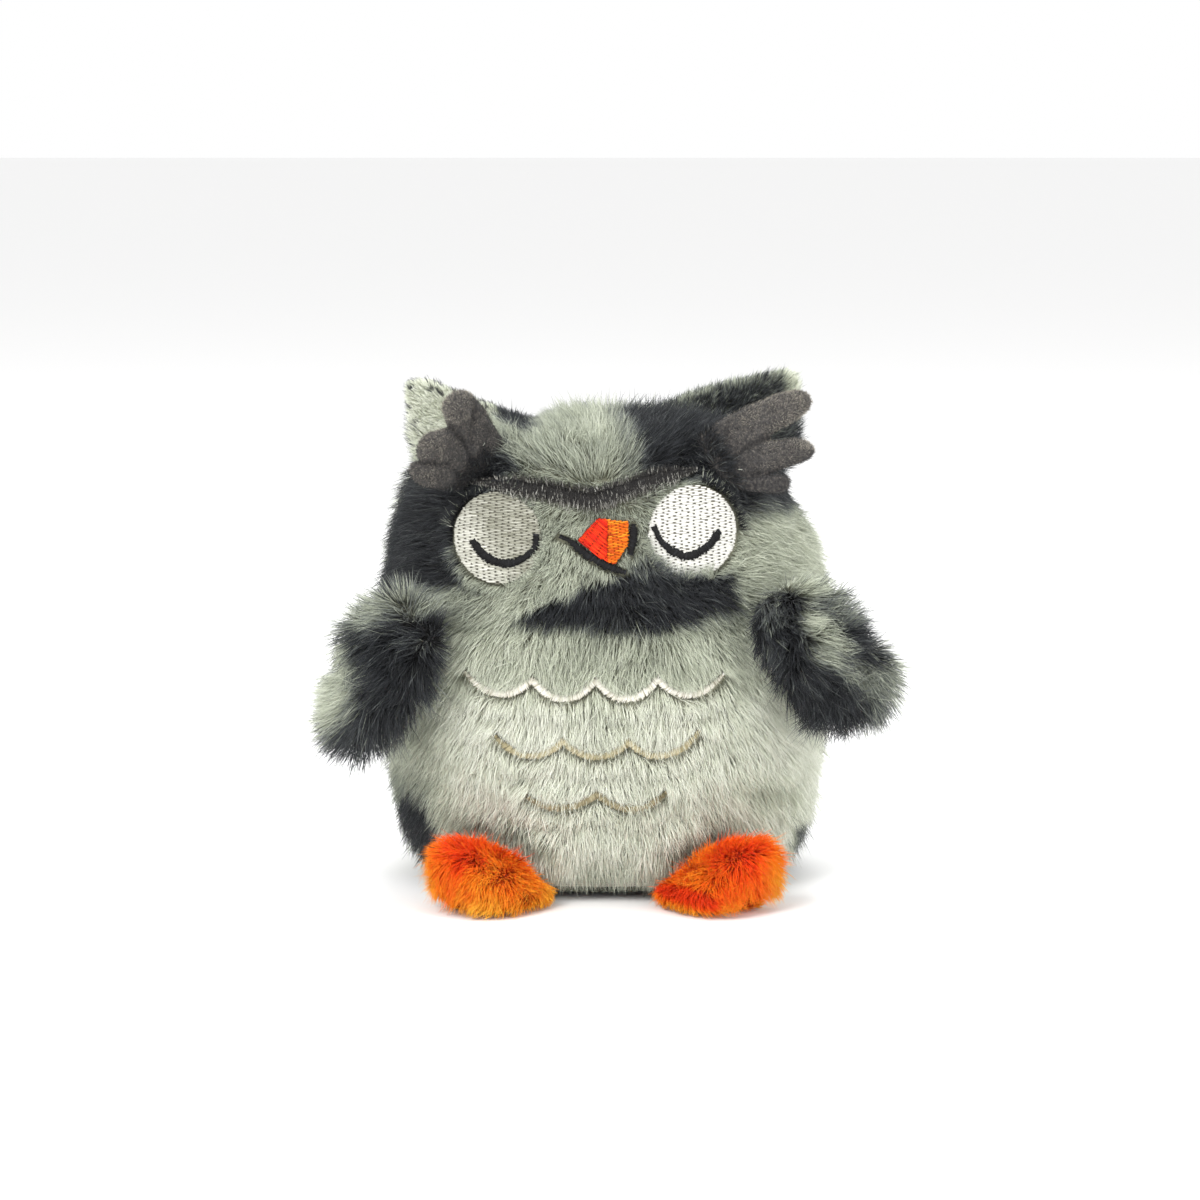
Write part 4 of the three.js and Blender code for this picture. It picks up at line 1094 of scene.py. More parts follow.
def make_pile(name, cloth, flow_of, density, length, lean, seed, hold, slot, kinds=(), allow=None, cross=0.0, radius=0.096, shape=None, **kw):
    points, quads = cloth
    roots, normals = scatter(points, quads, density, seed)
    r = np.random.default_rng(seed + 1)
    if kinds:
        # the pile stands closer together where it meets the stitching
        extra, extra_normals = scatter(points, quads, density * 0.9, seed + 50)
        clear = clear_of_stitching(extra[:, 0], extra[:, 2], kinds)
        near = (clear < 1.6) & (extra[:, 1] < -12)
        roots, normals = np.concatenate([roots, extra[near]]), np.concatenate([normals, extra_normals[near]])
        clear = clear_of_stitching(roots[:, 0], roots[:, 2], kinds)
        stay = (clear > -0.05) | (roots[:, 1] > -12)
        roots, normals = roots[stay], normals[stay]
    flow = flow_of(roots, normals)
    n = len(roots)
    size = length * (1 + 0.14 * noise(roots, 6.0, seed + 21)) * (0.82 + 0.3 * r.random(n))
    if shape is not None:
        size = size * shape(roots, normals)
    pts = grow(roots, normals, flow, size, lean, seed + 2, **kw)
    for kind in kinds:
        reach = allow[kind] * (0.3 + 1.2 * r.random(n))
        reach = np.where(r.random(n) < cross, 99.0, reach)
        pts = shorten(pts, reach, (kind,))
    pts[..., 2] = np.maximum(pts[..., 2], arch(pts[..., 0], pts[..., 1]) + 0.15)
    seen = pts[:, 0] * 0.35 + pts[:, 3] * 0.65
    shade = pile_shade(seen, normals)
    streak = noise(roots * np.array([1.0, 1.0, 0.22]), 1.5, seed + 31) + 0.6 * noise(roots * np.array([1.0, 1.0, 0.35]), 3.6, seed + 32)
    lively = 0.4 + 0.6 * smooth(shade / 0.4)
    shade = shade + (0.05 * streak + 0.06 * r.normal(size=n)) * lively
    frost = r.random(n)
    shade = shade + np.where(frost > 0.9, 0.2, 0.0) * (shade < 0.5)
    keep = np.linalg.norm(pts[:, 3] - pts[:, 0], axis=1) > 0.8
    thick = radius * (0.8 + 0.4 * r.random(n))
    plant(name, pts[keep], thick[keep], shade[keep], body_pile, hold, pts[keep][:, 0, 2])


def torso_shape(p, n):
    low = smooth((p[:, 2] - 3) / 12)
    neck = 1 - 0.1 * np.exp(-(((p[:, 2] - NECK) / 4.5) ** 2)) * (p[:, 1] < 20)
    return (0.72 + 0.28 * low) * neck


def belly_shape(p, n):
    clear = clear_of_stitching(p[:, 0], p[:, 2], ("scallop",))
    return torso_shape(p, n) * np.where(p[:, 1] < -12, 0.68 + 0.32 * smooth(clear / 4.5), 1.0)


def face_shape(p, n):
    clear = clear_of_stitching(p[:, 0], p[:, 2], ("eye", "beak", "mouth", "brow"))
    near = 0.46 + 0.54 * smooth(clear / 5.0)
    between = np.exp(-((p[:, 0] / 10.0) ** 2)) * smooth((p[:, 2] - 82) / 6)
    neck = 1 - 0.1 * np.exp(-(((p[:, 2] - NECK) / 4.5) ** 2))
    return np.where(p[:, 1] < -12, near * (1 - 0.35 * between), 1.0) * neck * beside_ear(p)


def beside_ear(p):
    """The pile is short at the left temple, and stands out a little on the right one."""
    z = p[:, 2]
    return (1 - 0.4 * np.exp(-(((z - 102) / 10.0) ** 2)) * smooth((p[:, 0] - 38) / 6)) * (1 + 0.2 * np.exp(-(((z - 98) / 9.0) ** 2)) * smooth((-p[:, 0] - 38) / 6))


def crown_dip(p):
    """The pile is flattened at the inner foot of each ear."""
    return 1 - 0.5 * np.exp(-(((p[:, 0] + 17) / 6) ** 2)) * smooth((p[:, 2] - 109) / 5)


def forehead_shape(p, n):
    rise = p[:, 2] - brow_height(p[:, 0])
    return (0.42 + 0.58 * smooth((rise - 1.0) / 5.0)) * crown_dip(p) * beside_ear(p)


STITCHING_FACE = ("eye", "beak", "mouth", "brow")
FACE_ALLOW = {"eye": 0.7, "beak": 0.3, "mouth": 0.3, "brow": 1.1}

belly = make_cloth("belly_cloth", belly_region(), hold_torso, ["belly_panel"])
make_pile("belly_pile", belly, body_flow, 4.9, 8.6, (42, 74), 100, hold_torso, "light_pile", kinds=("scallop",), allow={"scallop": 0.5}, cross=0.03, shape=belly_shape, clump=0.4, tufts=0.26, frizz=0.34)
for side, sign, slot_name in (("right", -1, "dark_pile"), ("left", 1, "light_pile")):
    back = make_cloth(f"{side}_back_cloth", back_region(sign), hold_torso, [f"{side}_back_body_panel"])
    make_pile(f"{side}_back_pile", back, body_flow, 2.9, 8.6, (42, 74), 200 + sign * 20, hold_torso, slot_name, shape=torso_shape, radius=0.12, frizz=0.3)
face = make_cloth("face_cloth", face_region(), hold_head, ["face_panel"])
make_pile("face_pile", face, face_flow, 5.8, 7.6, (36, 72), 300, hold_head, "light_pile", kinds=STITCHING_FACE, allow=FACE_ALLOW, shape=face_shape, curl=0.5, clump=0.42, tufts=0.32, uneven=1.3, frizz=0.42)
forehead = make_cloth("forehead_cloth", forehead_region(), hold_head, ["forehead_panel"])
make_pile("forehead_pile", forehead, forehead_flow, 5.4, 8.4, (30, 66), 400, hold_head, "light_pile", kinds=STITCHING_FACE, allow=FACE_ALLOW, shape=forehead_shape, curl=1.0, tufts=0.36, clump=0.42, uneven=1.6, wisp=0.18, frizz=0.55)
for side, sign, slot_name in (("right", -1, "dark_pile"), ("left", 1, "light_pile")):
    back = make_cloth(f"{side}_back_head_cloth", back_head_region(sign), hold_head, [f"{side}_back_head_panel"])
    make_pile(f"{side}_back_head_pile", back, crown_flow, 2.9, 8.6, (40, 72), 500 + sign * 20, hold_head, slot_name, radius=0.12, shape=lambda p, n: crown_dip(p) * beside_ear(p), frizz=0.3)

# ---- base -----------------------------------------------------------------


def base_disc(inset, z_low, z_high, rings=10, around=96):
    a = np.linspace(0, 2 * math.pi, around, endpoint=False)
    rim = surface(arc_of(np.full(around, 1.5)), a)[:, :2]
    scale = 1 - inset / np.linalg.norm(rim, axis=1)
    rim = rim * scale[:, None]
    shares = np.linspace(1, 0.08, rings)
    layers, verts = [], []
    for f in (0.985, 1.0, 0.985):
        z = {0: z_low, 1: (z_low + z_high) / 2, 2: z_high}[len(layers)]
        layers.append(len(verts))
        verts += [(*(p * f), z) for p in rim]
    faces = []
    for k in range(2):
        for j in range(around):
            b, c = k * around + j, k * around + (j + 1) % around
            faces.append([b, c, c + around, b + around])
    for top in (False, True):
        start = 2 * around if top else 0
        z = z_high if top else z_low
        before = list(range(start, start + around))
        for f in shares[1:]:
            now = list(range(len(verts), len(verts) + around))
            bulge = 0.25 * (1 - f) if top else 0.0
            verts += [(*(p * f), z + bulge) for p in rim]
            for j in range(around):
                q = [before[j], before[(j + 1) % around], now[(j + 1) % around], now[j]]
                faces.append(q if top else q[::-1])
            before = now
        centre = len(verts)
        verts.append((0, 0, z + (0.25 if top else 0)))
        for j in range(0, around, 2):
            q = [before[j], before[j + 1], before[(j + 2) % around], centre]
            faces.append(q if top else q[::-1])
    return np.array(verts, float), np.array(faces)


base_verts, base_faces = base_disc(1.6, 0.12, 2.9)
base_verts[:, 2] += arch(base_verts[:, 0], base_verts[:, 1]) * (1 - base_verts[:, 2] / 3.6)
base = make_object("base_cloth", base_verts, [base_faces], body_backing)
set_shade(base, np.full(len(base_verts), 0.22))
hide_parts("base_panel")
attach(base, "body")

r = np.random.default_rng(150)
n = 3600
angle = np.linspace(0, 2 * math.pi, n, endpoint=False) + 0.01 * r.normal(size=n)
rim = surface(arc_of(np.full(n, 1.5)), angle)
normals = unit(np.stack([rim[:, 0] / 41.5**2, rim[:, 1] / 34.7**2, 0 * angle], -1))
roots = rim - 1.8 * normals
roots[:, 2] = 0.5 + 2.4 * r.random(n)
roots[:, 2] += arch(roots[:, 0], roots[:, 1]) * (1 - roots[:, 2] / 3.6)
flow = np.stack([0 * angle, 0 * angle, -np.ones(n)], -1)
pts = grow(roots, normals, flow, 2.3 * (0.7 + 0.6 * r.random(n)), (25, 60), 151, clump=0.4, spacing=1.2)
pts[..., 2] = np.maximum(pts[..., 2], arch(pts[..., 0], pts[..., 1]) + 0.3 + 0.2 * r.random((n, 1)) * RINGS)
rim_tone = 0.75 * pile_shade(rim + np.array([0, 0, 4.0]), normals)
plant("base_pile", pts, 0.1 * (0.8 + 0.4 * r.random(n)), rim_tone + 0.08 * r.normal(size=n) + 0.1 * noise(roots, 6, 153), body_pile, lambda obj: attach(obj, "body"), angle)

# ---- stitched pads and threads --------------------------------------------


def on_front(x, z, depth):
    """A point on the front of the toy, depth mm under its outer surface, seen along Y."""
    return np.stack([x, front_y(x, z) + depth, z], -1)


def front_normal(x, z):
    dx = (front_y(x + 0.2, z) - front_y(x - 0.2, z)) / 0.4
    dz = (front_y(x, z + 0.2) - front_y(x, z - 0.2)) / 0.4
    return unit(np.stack([dx, -np.ones_like(dx), dz], -1))


def tubes(name, paths, radius, tone, material, sides=5, blunt=0.7):
    """One mesh of closed threads. paths is (threads, points, 3)."""
    paths = np.asarray(paths, float)
    n, k, _ = paths.shape
    tangent = np.gradient(paths, axis=1)
    tangent = unit(tangent)
    ref = np.zeros_like(paths)
    ref[..., 1] = -1.0
    side = unit(np.cross(tangent, ref) + 1e-9)
    over = unit(np.cross(side, tangent))
    taper = np.ones(k)
    taper[0] = taper[-1] = blunt
    rad = (np.asarray(radius) * np.ones(n))[:, None] * taper[None]
    verts = np.zeros((n, k, sides, 3))
    for j in range(sides):
        angle = 2 * math.pi * j / sides
        verts[:, :, j] = paths + rad[..., None] * (math.cos(angle) * side + math.sin(angle) * over)
    block = k * sides
    quads = []
    for i in range(k - 1):
        for j in range(sides):
            p, q = i * sides + j, i * sides + (j + 1) % sides
            quads.append([p, p + sides, q + sides, q])
    caps = [list(range(sides)), list(range(block - 1, block - sides - 1, -1))]
    offset = block * np.arange(n)[:, None, None]
    quads = (np.array(quads)[None] + offset).reshape(-1, 4)
    caps = (np.array(caps)[None] + offset).reshape(-1, sides)
    obj = make_object(name, verts, [quads, caps], material)
    tone = np.clip(tone, 0.02, 0.93)
    tone[0], tone[-1] = 0.0, 0.95
    uv = np.zeros((n, k, sides, 2))
    spread = 0.04 * (1 - np.abs(1 - 2 * np.arange(sides) / sides))
    uv[..., 0] = tone[:, None, None] + spread[None, None]
    uv[..., 1] = np.linspace(0, 1, k)[None, :, None]
    set_uv(obj, uv.reshape(-1, 2))
    return obj


def outline_pad(name, outline, depth_top, depth_low, material, step=0.5, crown=0.0, inset=0.0):
    """A thin closed pad inside an outline, draped on the front."""
    outline = resample(outline, step, closed=True)
    centre = outline.mean(0)
    n = len(outline)
    shares = np.array([0.0, 0.25, 0.5, 0.72, 0.88, 0.97, 1.0])
    shrink = 1 - inset / np.maximum(np.linalg.norm(outline - centre, axis=1), 1e-6)
    verts, faces = [], []
    for top in (True, False):
        for f in shares[1:]:
            p = centre + (outline - centre) * (f * shrink)[:, None]
            fall = 0.25 * smooth((f - 0.9) / 0.1) if top else 0
            depth = (depth_top - crown * (1 - f**2) + fall) if top else depth_low
            verts.append(on_front(p[:, 0], p[:, 1], depth))
        c = on_front(centre[:1], centre[1:], depth_top - crown if top else depth_low)
        verts.append(c)
    verts = np.concatenate(verts)
    rings = len(shares) - 1
    block = rings * n + 1
    j = np.arange(n)
    k = (j + 1) % n
    quads, tris = [], []
    for base_index, flip in ((0, False), (block, True)):
        for i in range(rings - 1):
            q = np.stack([base_index + i * n + j, base_index + i * n + k, base_index + (i + 1) * n + k, base_index + (i + 1) * n + j], -1)
            quads.append(q[:, ::-1] if flip else q)
        t = np.stack([np.full(n, base_index + rings * n), base_index + k, base_index + j], -1)
        tris.append(t[:, ::-1] if flip else t)
    top_rim, low_rim = (rings - 1) * n, block + (rings - 1) * n
    quads.append(np.stack([top_rim + j, top_rim + k, low_rim + k, low_rim + j], -1))
    obj = make_object(name, verts, [np.concatenate(quads), np.concatenate(tris)], material)
    bm = bmesh.new()
    bm.from_mesh(obj.data)
    bmesh.ops.recalc_face_normals(bm, faces=bm.faces)
    bm.to_mesh(obj.data)
    bm.free()
    return obj


def ribbon_outline(line, half_width):
    line = np.asarray(line, float)
    t = unit(np.gradient(line, axis=0))
    n = np.stack([-t[:, 1], t[:, 0]], -1)
    w = np.asarray(half_width) * np.ones(len(line))
    return line + n * w[:, None], line - n * w[:, None]


def ribbon_pad(name, line, half_width, depth_top, depth_low, material):
    """A thin closed pad along a line, crowned across."""
    line = resample(line, 0.6)
    w = (half_width(np.linspace(0, 1, len(line))) if callable(half_width) else np.full(len(line), half_width)) * 0.86
    t = unit(np.gradient(line, axis=0))
    n = np.stack([-t[:, 1], t[:, 0]], -1)
    across = np.array([-1, -0.6, 0, 0.6, 1])
    rise = np.array([0.0, 0.16, 0.24, 0.16, 0.0])
    outer = np.stack([on_front(*(line + n * (w * c)[:, None]).T, depth_top + 0.24 - h) for c, h in zip(across, rise)], 1)
    inner = np.stack([on_front(*(line + n * (w * c)[:, None]).T, depth_low) for c in across], 1)
    verts, faces, _ = shell(outer, inner)
    obj = make_object(name, verts, faces, material)
    bm = bmesh.new()
    bm.from_mesh(obj.data)
    bmesh.ops.recalc_face_normals(bm, faces=bm.faces)
    bm.to_mesh(obj.data)
    bm.free()
    return obj


def satin(name, line, half_width, depth, material, seed, pitch=0.34, crown=0.42, radius=0.2, ragged=0.12, slant=0.12, tone=None, ends=None):
    """Threads laid side by side across a line, over a raised core."""
    r = np.random.default_rng(seed)
    line = resample(line, pitch)
    n = len(line)
    share = np.linspace(0, 1, n)
    w = half_width(share) if callable(half_width) else np.full(n, float(half_width))
    t = unit(np.gradient(line, axis=0))
    side = np.stack([-t[:, 1], t[:, 0]], -1)
    low = 1 + ragged * r.normal(size=n)
    high = 1 + ragged * r.normal(size=n)
    steps = np.array([-1.0, -0.82, -0.45, 0.0, 0.45, 0.82, 1.0])
    paths = []
    for c in steps:
        reach = np.where(c < 0, low, high) * w * c
        lean = slant * c + 0.1 * r.normal(size=n) * abs(c) * ragged
        p = line + side * reach[:, None] + t * (lean * w)[:, None]
        rise = crown * (1 - np.abs(c) ** 2.2) - 0.3 * (abs(c) > 0.95)
        paths.append(on_front(p[:, 0], p[:, 1], depth + 0.3 - rise + 0.03 * r.normal(size=n)))
    paths = np.stack(paths, 1)
    tones = 0.5 + 0.22 * r.normal(size=n) if tone is None else tone(share, r)
    return tubes(name, paths, radius * (1 + 0.12 * r.normal(size=n)), tones, material)


def fill_stitch(name, inside, x_range, z_range, depth, material, seed, pitch=0.4, stitch=3.1, radius=0.215, crown=lambda x, z: 0 * x, tone=None, dip=0.22, turn=0.0, gap=0.1, spread=0.08, ragged=0.1, loose=0.0):
    """Rows of running stitches in a brick pattern that fill an outline."""
    r = np.random.default_rng(seed)
    c, s = math.cos(turn), math.sin(turn)
    rows = np.arange(z_range[0], z_range[1], pitch)
    mid = np.array([(x_range[0] + x_range[1]) / 2, (z_range[0] + z_range[1]) / 2])
    paths, tones = [], []
    fine = np.arange(x_range[0], x_range[1], 0.05)
    for j, v in enumerate(rows):
        d = np.stack([fine - mid[0], np.full(len(fine), v - mid[1])], -1)
        p = mid + np.stack([d[:, 0] * c - d[:, 1] * s, d[:, 0] * s + d[:, 1] * c], -1)
        ok = inside(p[:, 0], p[:, 1])
        if ok.sum() < 12:
            continue
        first, last = fine[ok][0] + ragged * r.normal(), fine[ok][-1] + ragged * r.normal()
        shift = (j % 2) * stitch / 2 + 0.1 * r.normal() + 0.12 * math.sin(1.3 * j) * min(loose, 1.0)
        marks = np.arange(math.floor((first - shift) / stitch) * stitch + shift, last + stitch, stitch)
        marks = marks[(marks > first + 0.5) & (marks < last - 0.5)]
        marks = np.concatenate([[first], marks + (0.05 + 0.05 * min(loose, 1.0)) * r.normal(size=len(marks)), [last]])
        for a, b in zip(marks[:-1], marks[1:]):
            f = np.array([0.0, 0.09, 0.3, 0.5, 0.7, 0.91, 1.0])
            space = min(gap * (1 + loose * r.random() ** 1.5), 0.4 * (b - a))
            u = a + space / 2 + (b - a - space) * f
            w = v + 0.02 * r.normal() + 0 * f
            d = np.stack([u - mid[0], w - mid[1]], -1)
            q = mid + np.stack([d[:, 0] * c - d[:, 1] * s, d[:, 0] * s + d[:, 1] * c], -1)
            sink = dip * (1 - np.minimum(np.minimum(f, 1 - f) / 0.2, 1)) ** 1.5
            paths.append(on_front(q[:, 0], q[:, 1], depth + sink - crown(q[:, 0], q[:, 1])))
            tones.append(tone(q[3, 0], q[3, 1]) if tone else 0.5)
    paths = np.array(paths)
    tones = np.array(tones) + spread * r.normal(size=len(tones))
    return tubes(name, paths, radius * (1 + 0.08 * r.normal(size=len(paths))), tones, material)


def with_node(obj, node, hold):
    if node:
        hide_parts(node)
    hold(obj)


eye_pad = pad_material("eye_underlay", lin((104, 100, 88)), lin((140, 136, 124)))
black_pad = pad_material("black_underlay", lin((10, 10, 11)), lin((22, 22, 24)))
beak_pad = pad_material("beak_underlay", lin((120, 34, 6)), lin((164, 58, 10)))
brow_pad = pad_material("brow_underlay", lin((22, 20, 20)), lin((40, 37, 36)))
scallop_pad = pad_material("scallop_underlay", lin((120, 114, 96)), lin((160, 154, 134)))

for side, (cx, cz) in EYES.items():
    ring = np.linspace(0, 2 * math.pi, 120, endpoint=False)
    disc = np.stack([cx + EYE_RADIUS * np.cos(ring), cz + EYE_RADIUS * np.sin(ring)], -1)
    pad = outline_pad(f"{side}_eye_underlay", disc, EYE_DEPTH + 0.38, EYE_DEPTH + 1.0, eye_pad, crown=0.5, inset=0.25)
    with_node(pad, f"{side}_eye_patch", hold_head)

    def puff(x, z, cx=cx, cz=cz):
        d = np.hypot(x - cx, z - cz) / EYE_RADIUS
        return 0.5 * (1 - np.minimum(d, 1) ** 2)

    def eye_tone(x, z, cx=cx, cz=cz, side=side):
        if side == "left":
            return 0.82
        # painted shade on the right eye: greyer on its inner half, lighter on its outer and lower side
        return 0.42 + 0.36 * float(smooth((-(x - cx) * 0.9 - (z - cz) * 0.5 + 2.0) / 9.0))

    threads = fill_stitch(
        f"{side}_eye_stitching",
        lambda x, z, cx=cx, cz=cz: np.hypot(x - cx, z - cz) < EYE_RADIUS - 0.15,
        (cx - EYE_RADIUS, cx + EYE_RADIUS), (cz - EYE_RADIUS + 0.2, cz + EYE_RADIUS),
        EYE_DEPTH + 0.16, eye_thread[side], 600 + (side == "left"), crown=puff, tone=eye_tone, gap=0.2, loose=3.4, radius=0.246, dip=0.13,
    )
    with_node(threads, None, hold_head)
    width = (lambda s: 0.5 * LID_WIDTH * (0.72 + 0.28 * smooth(1 - (s - 0.45) / 0.3)) * (0.75 + 0.25 * smooth(s / 0.05))) if side == "right" else (lambda s: 0.5 * LID_WIDTH * (0.62 + 0.38 * smooth((s - 0.15) / 0.25)) * (0.7 + 0.3 * smooth((1 - s) / 0.05)))
    lid = satin(f"{side}_eyelid_stitching", LID_LINES[side], width, EYE_DEPTH - 0.62, black_thread, 620 + (side == "left"), pitch=0.26, crown=0.5, radius=0.17, ragged=0.15)
    with_node(lid, f"{side}_eyelid_stitch", hold_head)


def rim_pile(name, side, arc, count, inward, length, shade, seed):
    """Pile that stands round the rim of an eye: it leans away from it, or lies over its edge."""
    r = np.random.default_rng(seed)
    cx, cz = EYES[side]
    angle = np.radians(arc[0] + (arc[1] - arc[0]) * r.random(count))
    start = EYE_RADIUS + (0.5 + 1.6 * r.random(count) if inward else 0.15 + 1.1 * r.random(count))
    ray = np.stack([np.cos(angle), np.sin(angle)], -1)
    tangent = np.stack([-ray[:, 1], ray[:, 0]], -1)
    way = unit(ray * (-1 if inward else 1) + tangent * 0.38 * r.normal(size=(count, 1)) + np.array([0.0, -0.25 if inward else 0.12]))
    reach = length * (0.3 + 1.1 * r.random(count)) * (1 + 0.45 * noise(np.stack([4 * angle, 0 * angle, 0 * angle], -1), 0.6, seed))
    root = np.array([cx, cz]) + ray * start[:, None]
    depths = (2.9, 1.55, 1.15, 1.3) if inward else (2.9, 1.9, 1.2, 0.7)
    pts = np.zeros((count, 4, 3))
    for k in range(4):
        q = root + way * (reach * RINGS[k])[:, None]
        pts[:, k] = on_front(q[:, 0], q[:, 1], depths[k] + (0.25 if k else 0.0) * r.normal(size=count))
    tone = pile_shade(pts[:, 3], front_normal(pts[:, 3, 0], pts[:, 3, 2])) if shade is None else np.where(r.random(count) < 0.9, shade, 0.6)
    plant(name, pts, 0.075 * (0.8 + 0.4 * r.random(count)), tone + 0.07 * r.normal(size=count), body_pile, hold_head, angle)


rim_pile("right_eye_fringe", "right", (66, 170), 520, False, 2.4, 0.06, 760)
rim_pile("right_eye_overlay", "right", (-78, 12), 420, True, 2.4, None, 761)
rim_pile("left_eye_fringe", "left", (-2, 78), 480, False, 2.6, 0.06, 762)
rim_pile("left_eye_overlay", "left", (186, 296), 820, True, 3.6, None, 763)

beak_outline = {k: np.array(v) for k, v in BEAK.items()}
for side, slot_name in (("right", "beak_red_thread"), ("left", "beak_orange_thread")):
    pad = outline_pad(f"{side}_beak_underlay", beak_outline[side], BEAK_DEPTH + 0.36, BEAK_DEPTH + 1.0, beak_pad, step=0.35, crown=0.3, inset=0.15)
    with_node(pad, f"beak_{side}_half", hold_head)
    lo, hi = beak_outline[side].min(0), beak_outline[side].max(0)
    threads = fill_stitch(
        f"{side}_beak_stitching",
        lambda x, z, o=beak_outline[side]: outline_distance(np.stack([x, z], -1), o) < 0.05,
        (lo[0] - 3, hi[0] + 3), (lo[1] - 3, hi[1] + 3),
        BEAK_DEPTH + 0.12, beak_thread[side], 640 + (side == "left"),
        pitch=0.36, stitch=4.6 if side == "right" else 2.1, radius=0.18,
        crown=lambda x, z: 0.35 * np.exp(-(((x - 0.5) / 4.5) ** 2)), dip=0.26, spread=0.2,
        turn=math.radians(-38 if side == "right" else 8),
    )
    with_node(threads, None, hold_head)


def mouth_width(side):
    if side == "right":
        return lambda s: MOUTH_WIDTH / 2 * (0.5 + 0.5 * smooth((s - 0.1) / 0.2)) * (0.45 + 0.55 * smooth((1 - s) / 0.15))
    return lambda s: MOUTH_WIDTH / 2 * (0.65 + 0.35 * smooth(s / 0.3)) * (0.7 + 0.3 * smooth((1 - s) / 0.3))


for side in ("right", "left"):
    line = satin(f"{side}_mouth_stitching", MOUTH_LINES[side], mouth_width(side), BEAK_DEPTH + 0.02, black_thread, 660 + (side == "left"), pitch=0.26, crown=0.36, radius=0.17, ragged=0.2)
    with_node(line, f"mouth_{side}_stitch", hold_head)

pad = ribbon_pad("brow_underlay", BROW, brow_half_width, BROW_DEPTH + 0.3, BROW_DEPTH + 1.0, brow_pad)
with_node(pad, "brow_stitch", hold_head)


def brow_tone(share, r):
    return np.clip(0.1 + 0.09 * r.normal(size=len(share)) + 0.32 * (r.random(len(share)) < 0.16), 0, 1)


threads = satin("brow_stitching", BROW, lambda t: brow_half_width(t) * 0.8, BROW_DEPTH, brow_thread, 680, pitch=0.19, crown=0.4, radius=0.11, ragged=0.2, slant=0.22, tone=brow_tone)
with_node(threads, None, hold_head)

# fine bristles of thread lie across the brow from its upper edge and hang over the lower one
r = np.random.default_rng(684)
n = 4300
share = r.random(n)
at = np.stack([np.interp(share, np.linspace(0, 1, len(BROW)), BROW[:, k]) for k in (0, 1)], -1)
slope = unit(np.stack([np.interp(share, np.linspace(0, 1, len(BROW)), np.gradient(BROW[:, k])) for k in (0, 1)], -1))
across = np.stack([-slope[:, 1], slope[:, 0]], -1)
across = across * np.sign(across[:, 1:])
down = r.random(n) < 0.8
half = brow_half_width(share)
pick = r.random(n)
low_set = np.where(pick > 0.7, 0.9 * r.random(n), 0.0)
foot_at = at + across * (half * np.where(down, 0.1 + 0.8 * r.random(n) - low_set, 0.5 + 0.35 * r.random(n)))[:, None]
reach = half * np.where(down, 0.7 + 1.0 * r.random(n), 0.45 + 0.6 * r.random(n))
tilt = np.where(down, -0.12, 0.3) * np.sign(at[:, 0]) + 0.2 * r.normal(size=n)
way = across * np.where(down, -1.0, 1.0)[:, None] + slope * tilt[:, None]
steps = np.array([0.0, 0.33, 0.66, 1.0])
paths = []
for f in steps:
    q = foot_at + way * (reach * f)[:, None]
    paths.append(on_front(q[:, 0], q[:, 1], BROW_DEPTH - 0.05 - 0.5 * math.sin(f * 2.5) * (0.5 + 0.8 * r.random(n))))
reach = np.where(pick > 0.7, 0.7 * reach, reach)
tones = np.where(pick < 0.7, 0.08, np.where(pick < 0.87, 0.42, 0.82)) + 0.07 * r.normal(size=n)
hairs = tubes("brow_thread_ends", np.stack(paths, 1), 0.052 * (1 + 0.2 * r.normal(size=n)), tones, brow_thread, sides=3)
with_node(hairs, None, hold_head)


def scallop_tone(share, r):
    # painted shade: each row is darker toward its ends, where the pile lies over it
    ends = smooth(share / 0.16) * smooth((1 - share) / 0.16)
    return 0.38 + 0.26 * ends + 0.14 * r.normal(size=len(share))


def scallop_half_width(share):
    return SCALLOP_WIDTH / 2 * (0.45 + 0.55 * smooth(share / 0.09) * smooth((1 - share) / 0.09))


for row, slot_name in (("top", "silver_thread"), ("middle", "taupe_thread"), ("bottom", "brown_thread")):
    pad = ribbon_pad(f"{row}_scallop_underlay", SCALLOP_LINES[row], scallop_half_width, SCALLOP_DEPTH + 0.25, SCALLOP_DEPTH + 1.0, scallop_pad)
    with_node(pad, f"scallop_row_{row}", hold_torso)
    threads = satin(f"{row}_scallop_stitching", SCALLOP_LINES[row], scallop_half_width, SCALLOP_DEPTH - 0.05, scallop_thread[row], 700 + len(row), pitch=0.24, crown=0.4, radius=0.145, ragged=0.18, slant=0.25, tone=scallop_tone)
    with_node(threads, None, hold_torso)

# ---- wings ----------------------------------------------------------------

WINGS = {
    "right": (-1, (-53.5, 57.0), [[-57.3, 74.6], [-50.5, 78.2], [-44.6, 78.6], [-39.6, 75.6], [-36.8, 71.0], [-37.6, 64.5], [-40.0, 58.0], [-42.3, 51.7], [-46.5, 45.0], [-52.0, 39.4], [-56.5, 35.2], [-61.5, 33.0], [-66.0, 34.4], [-69.4, 38.4], [-69.8, 44.0], [-70.4, 49.5], [-68.4, 56.0], [-65.8, 63.0], [-62.2, 69.8]]),
    "left": (1, (54.0, 61.0), [[34.6, 76.4], [38.8, 80.8], [44.6, 82.2], [49.4, 81.0], [54.4, 77.4], [58.6, 73.4], [62.6, 68.0], [67.4, 63.6], [72.0, 58.6], [73.8, 53.4], [73.0, 47.6], [69.4, 44.0], [64.0, 42.4], [58.4, 40.4], [52.6, 42.2], [47.4, 46.0], [43.0, 51.0], [39.0, 57.4], [35.6, 64.0], [33.4, 70.6]]),
}
WING_ROOT = {"right": (-45.0, 77.0), "left": (42.0, 79.0)}
WING_TIP = {"right": (-64.0, 34.0), "left": (70.0, 46.0)}
WING_INSET = 2.9
WING_RIM = {"out": 7.0, "in": 3.4}
WING_THICK = 8.0


def wing_plane(x):
    t = np.abs(x) - 38.0
    return -43.6 + 0.307 * t + 0.0107 * t * t


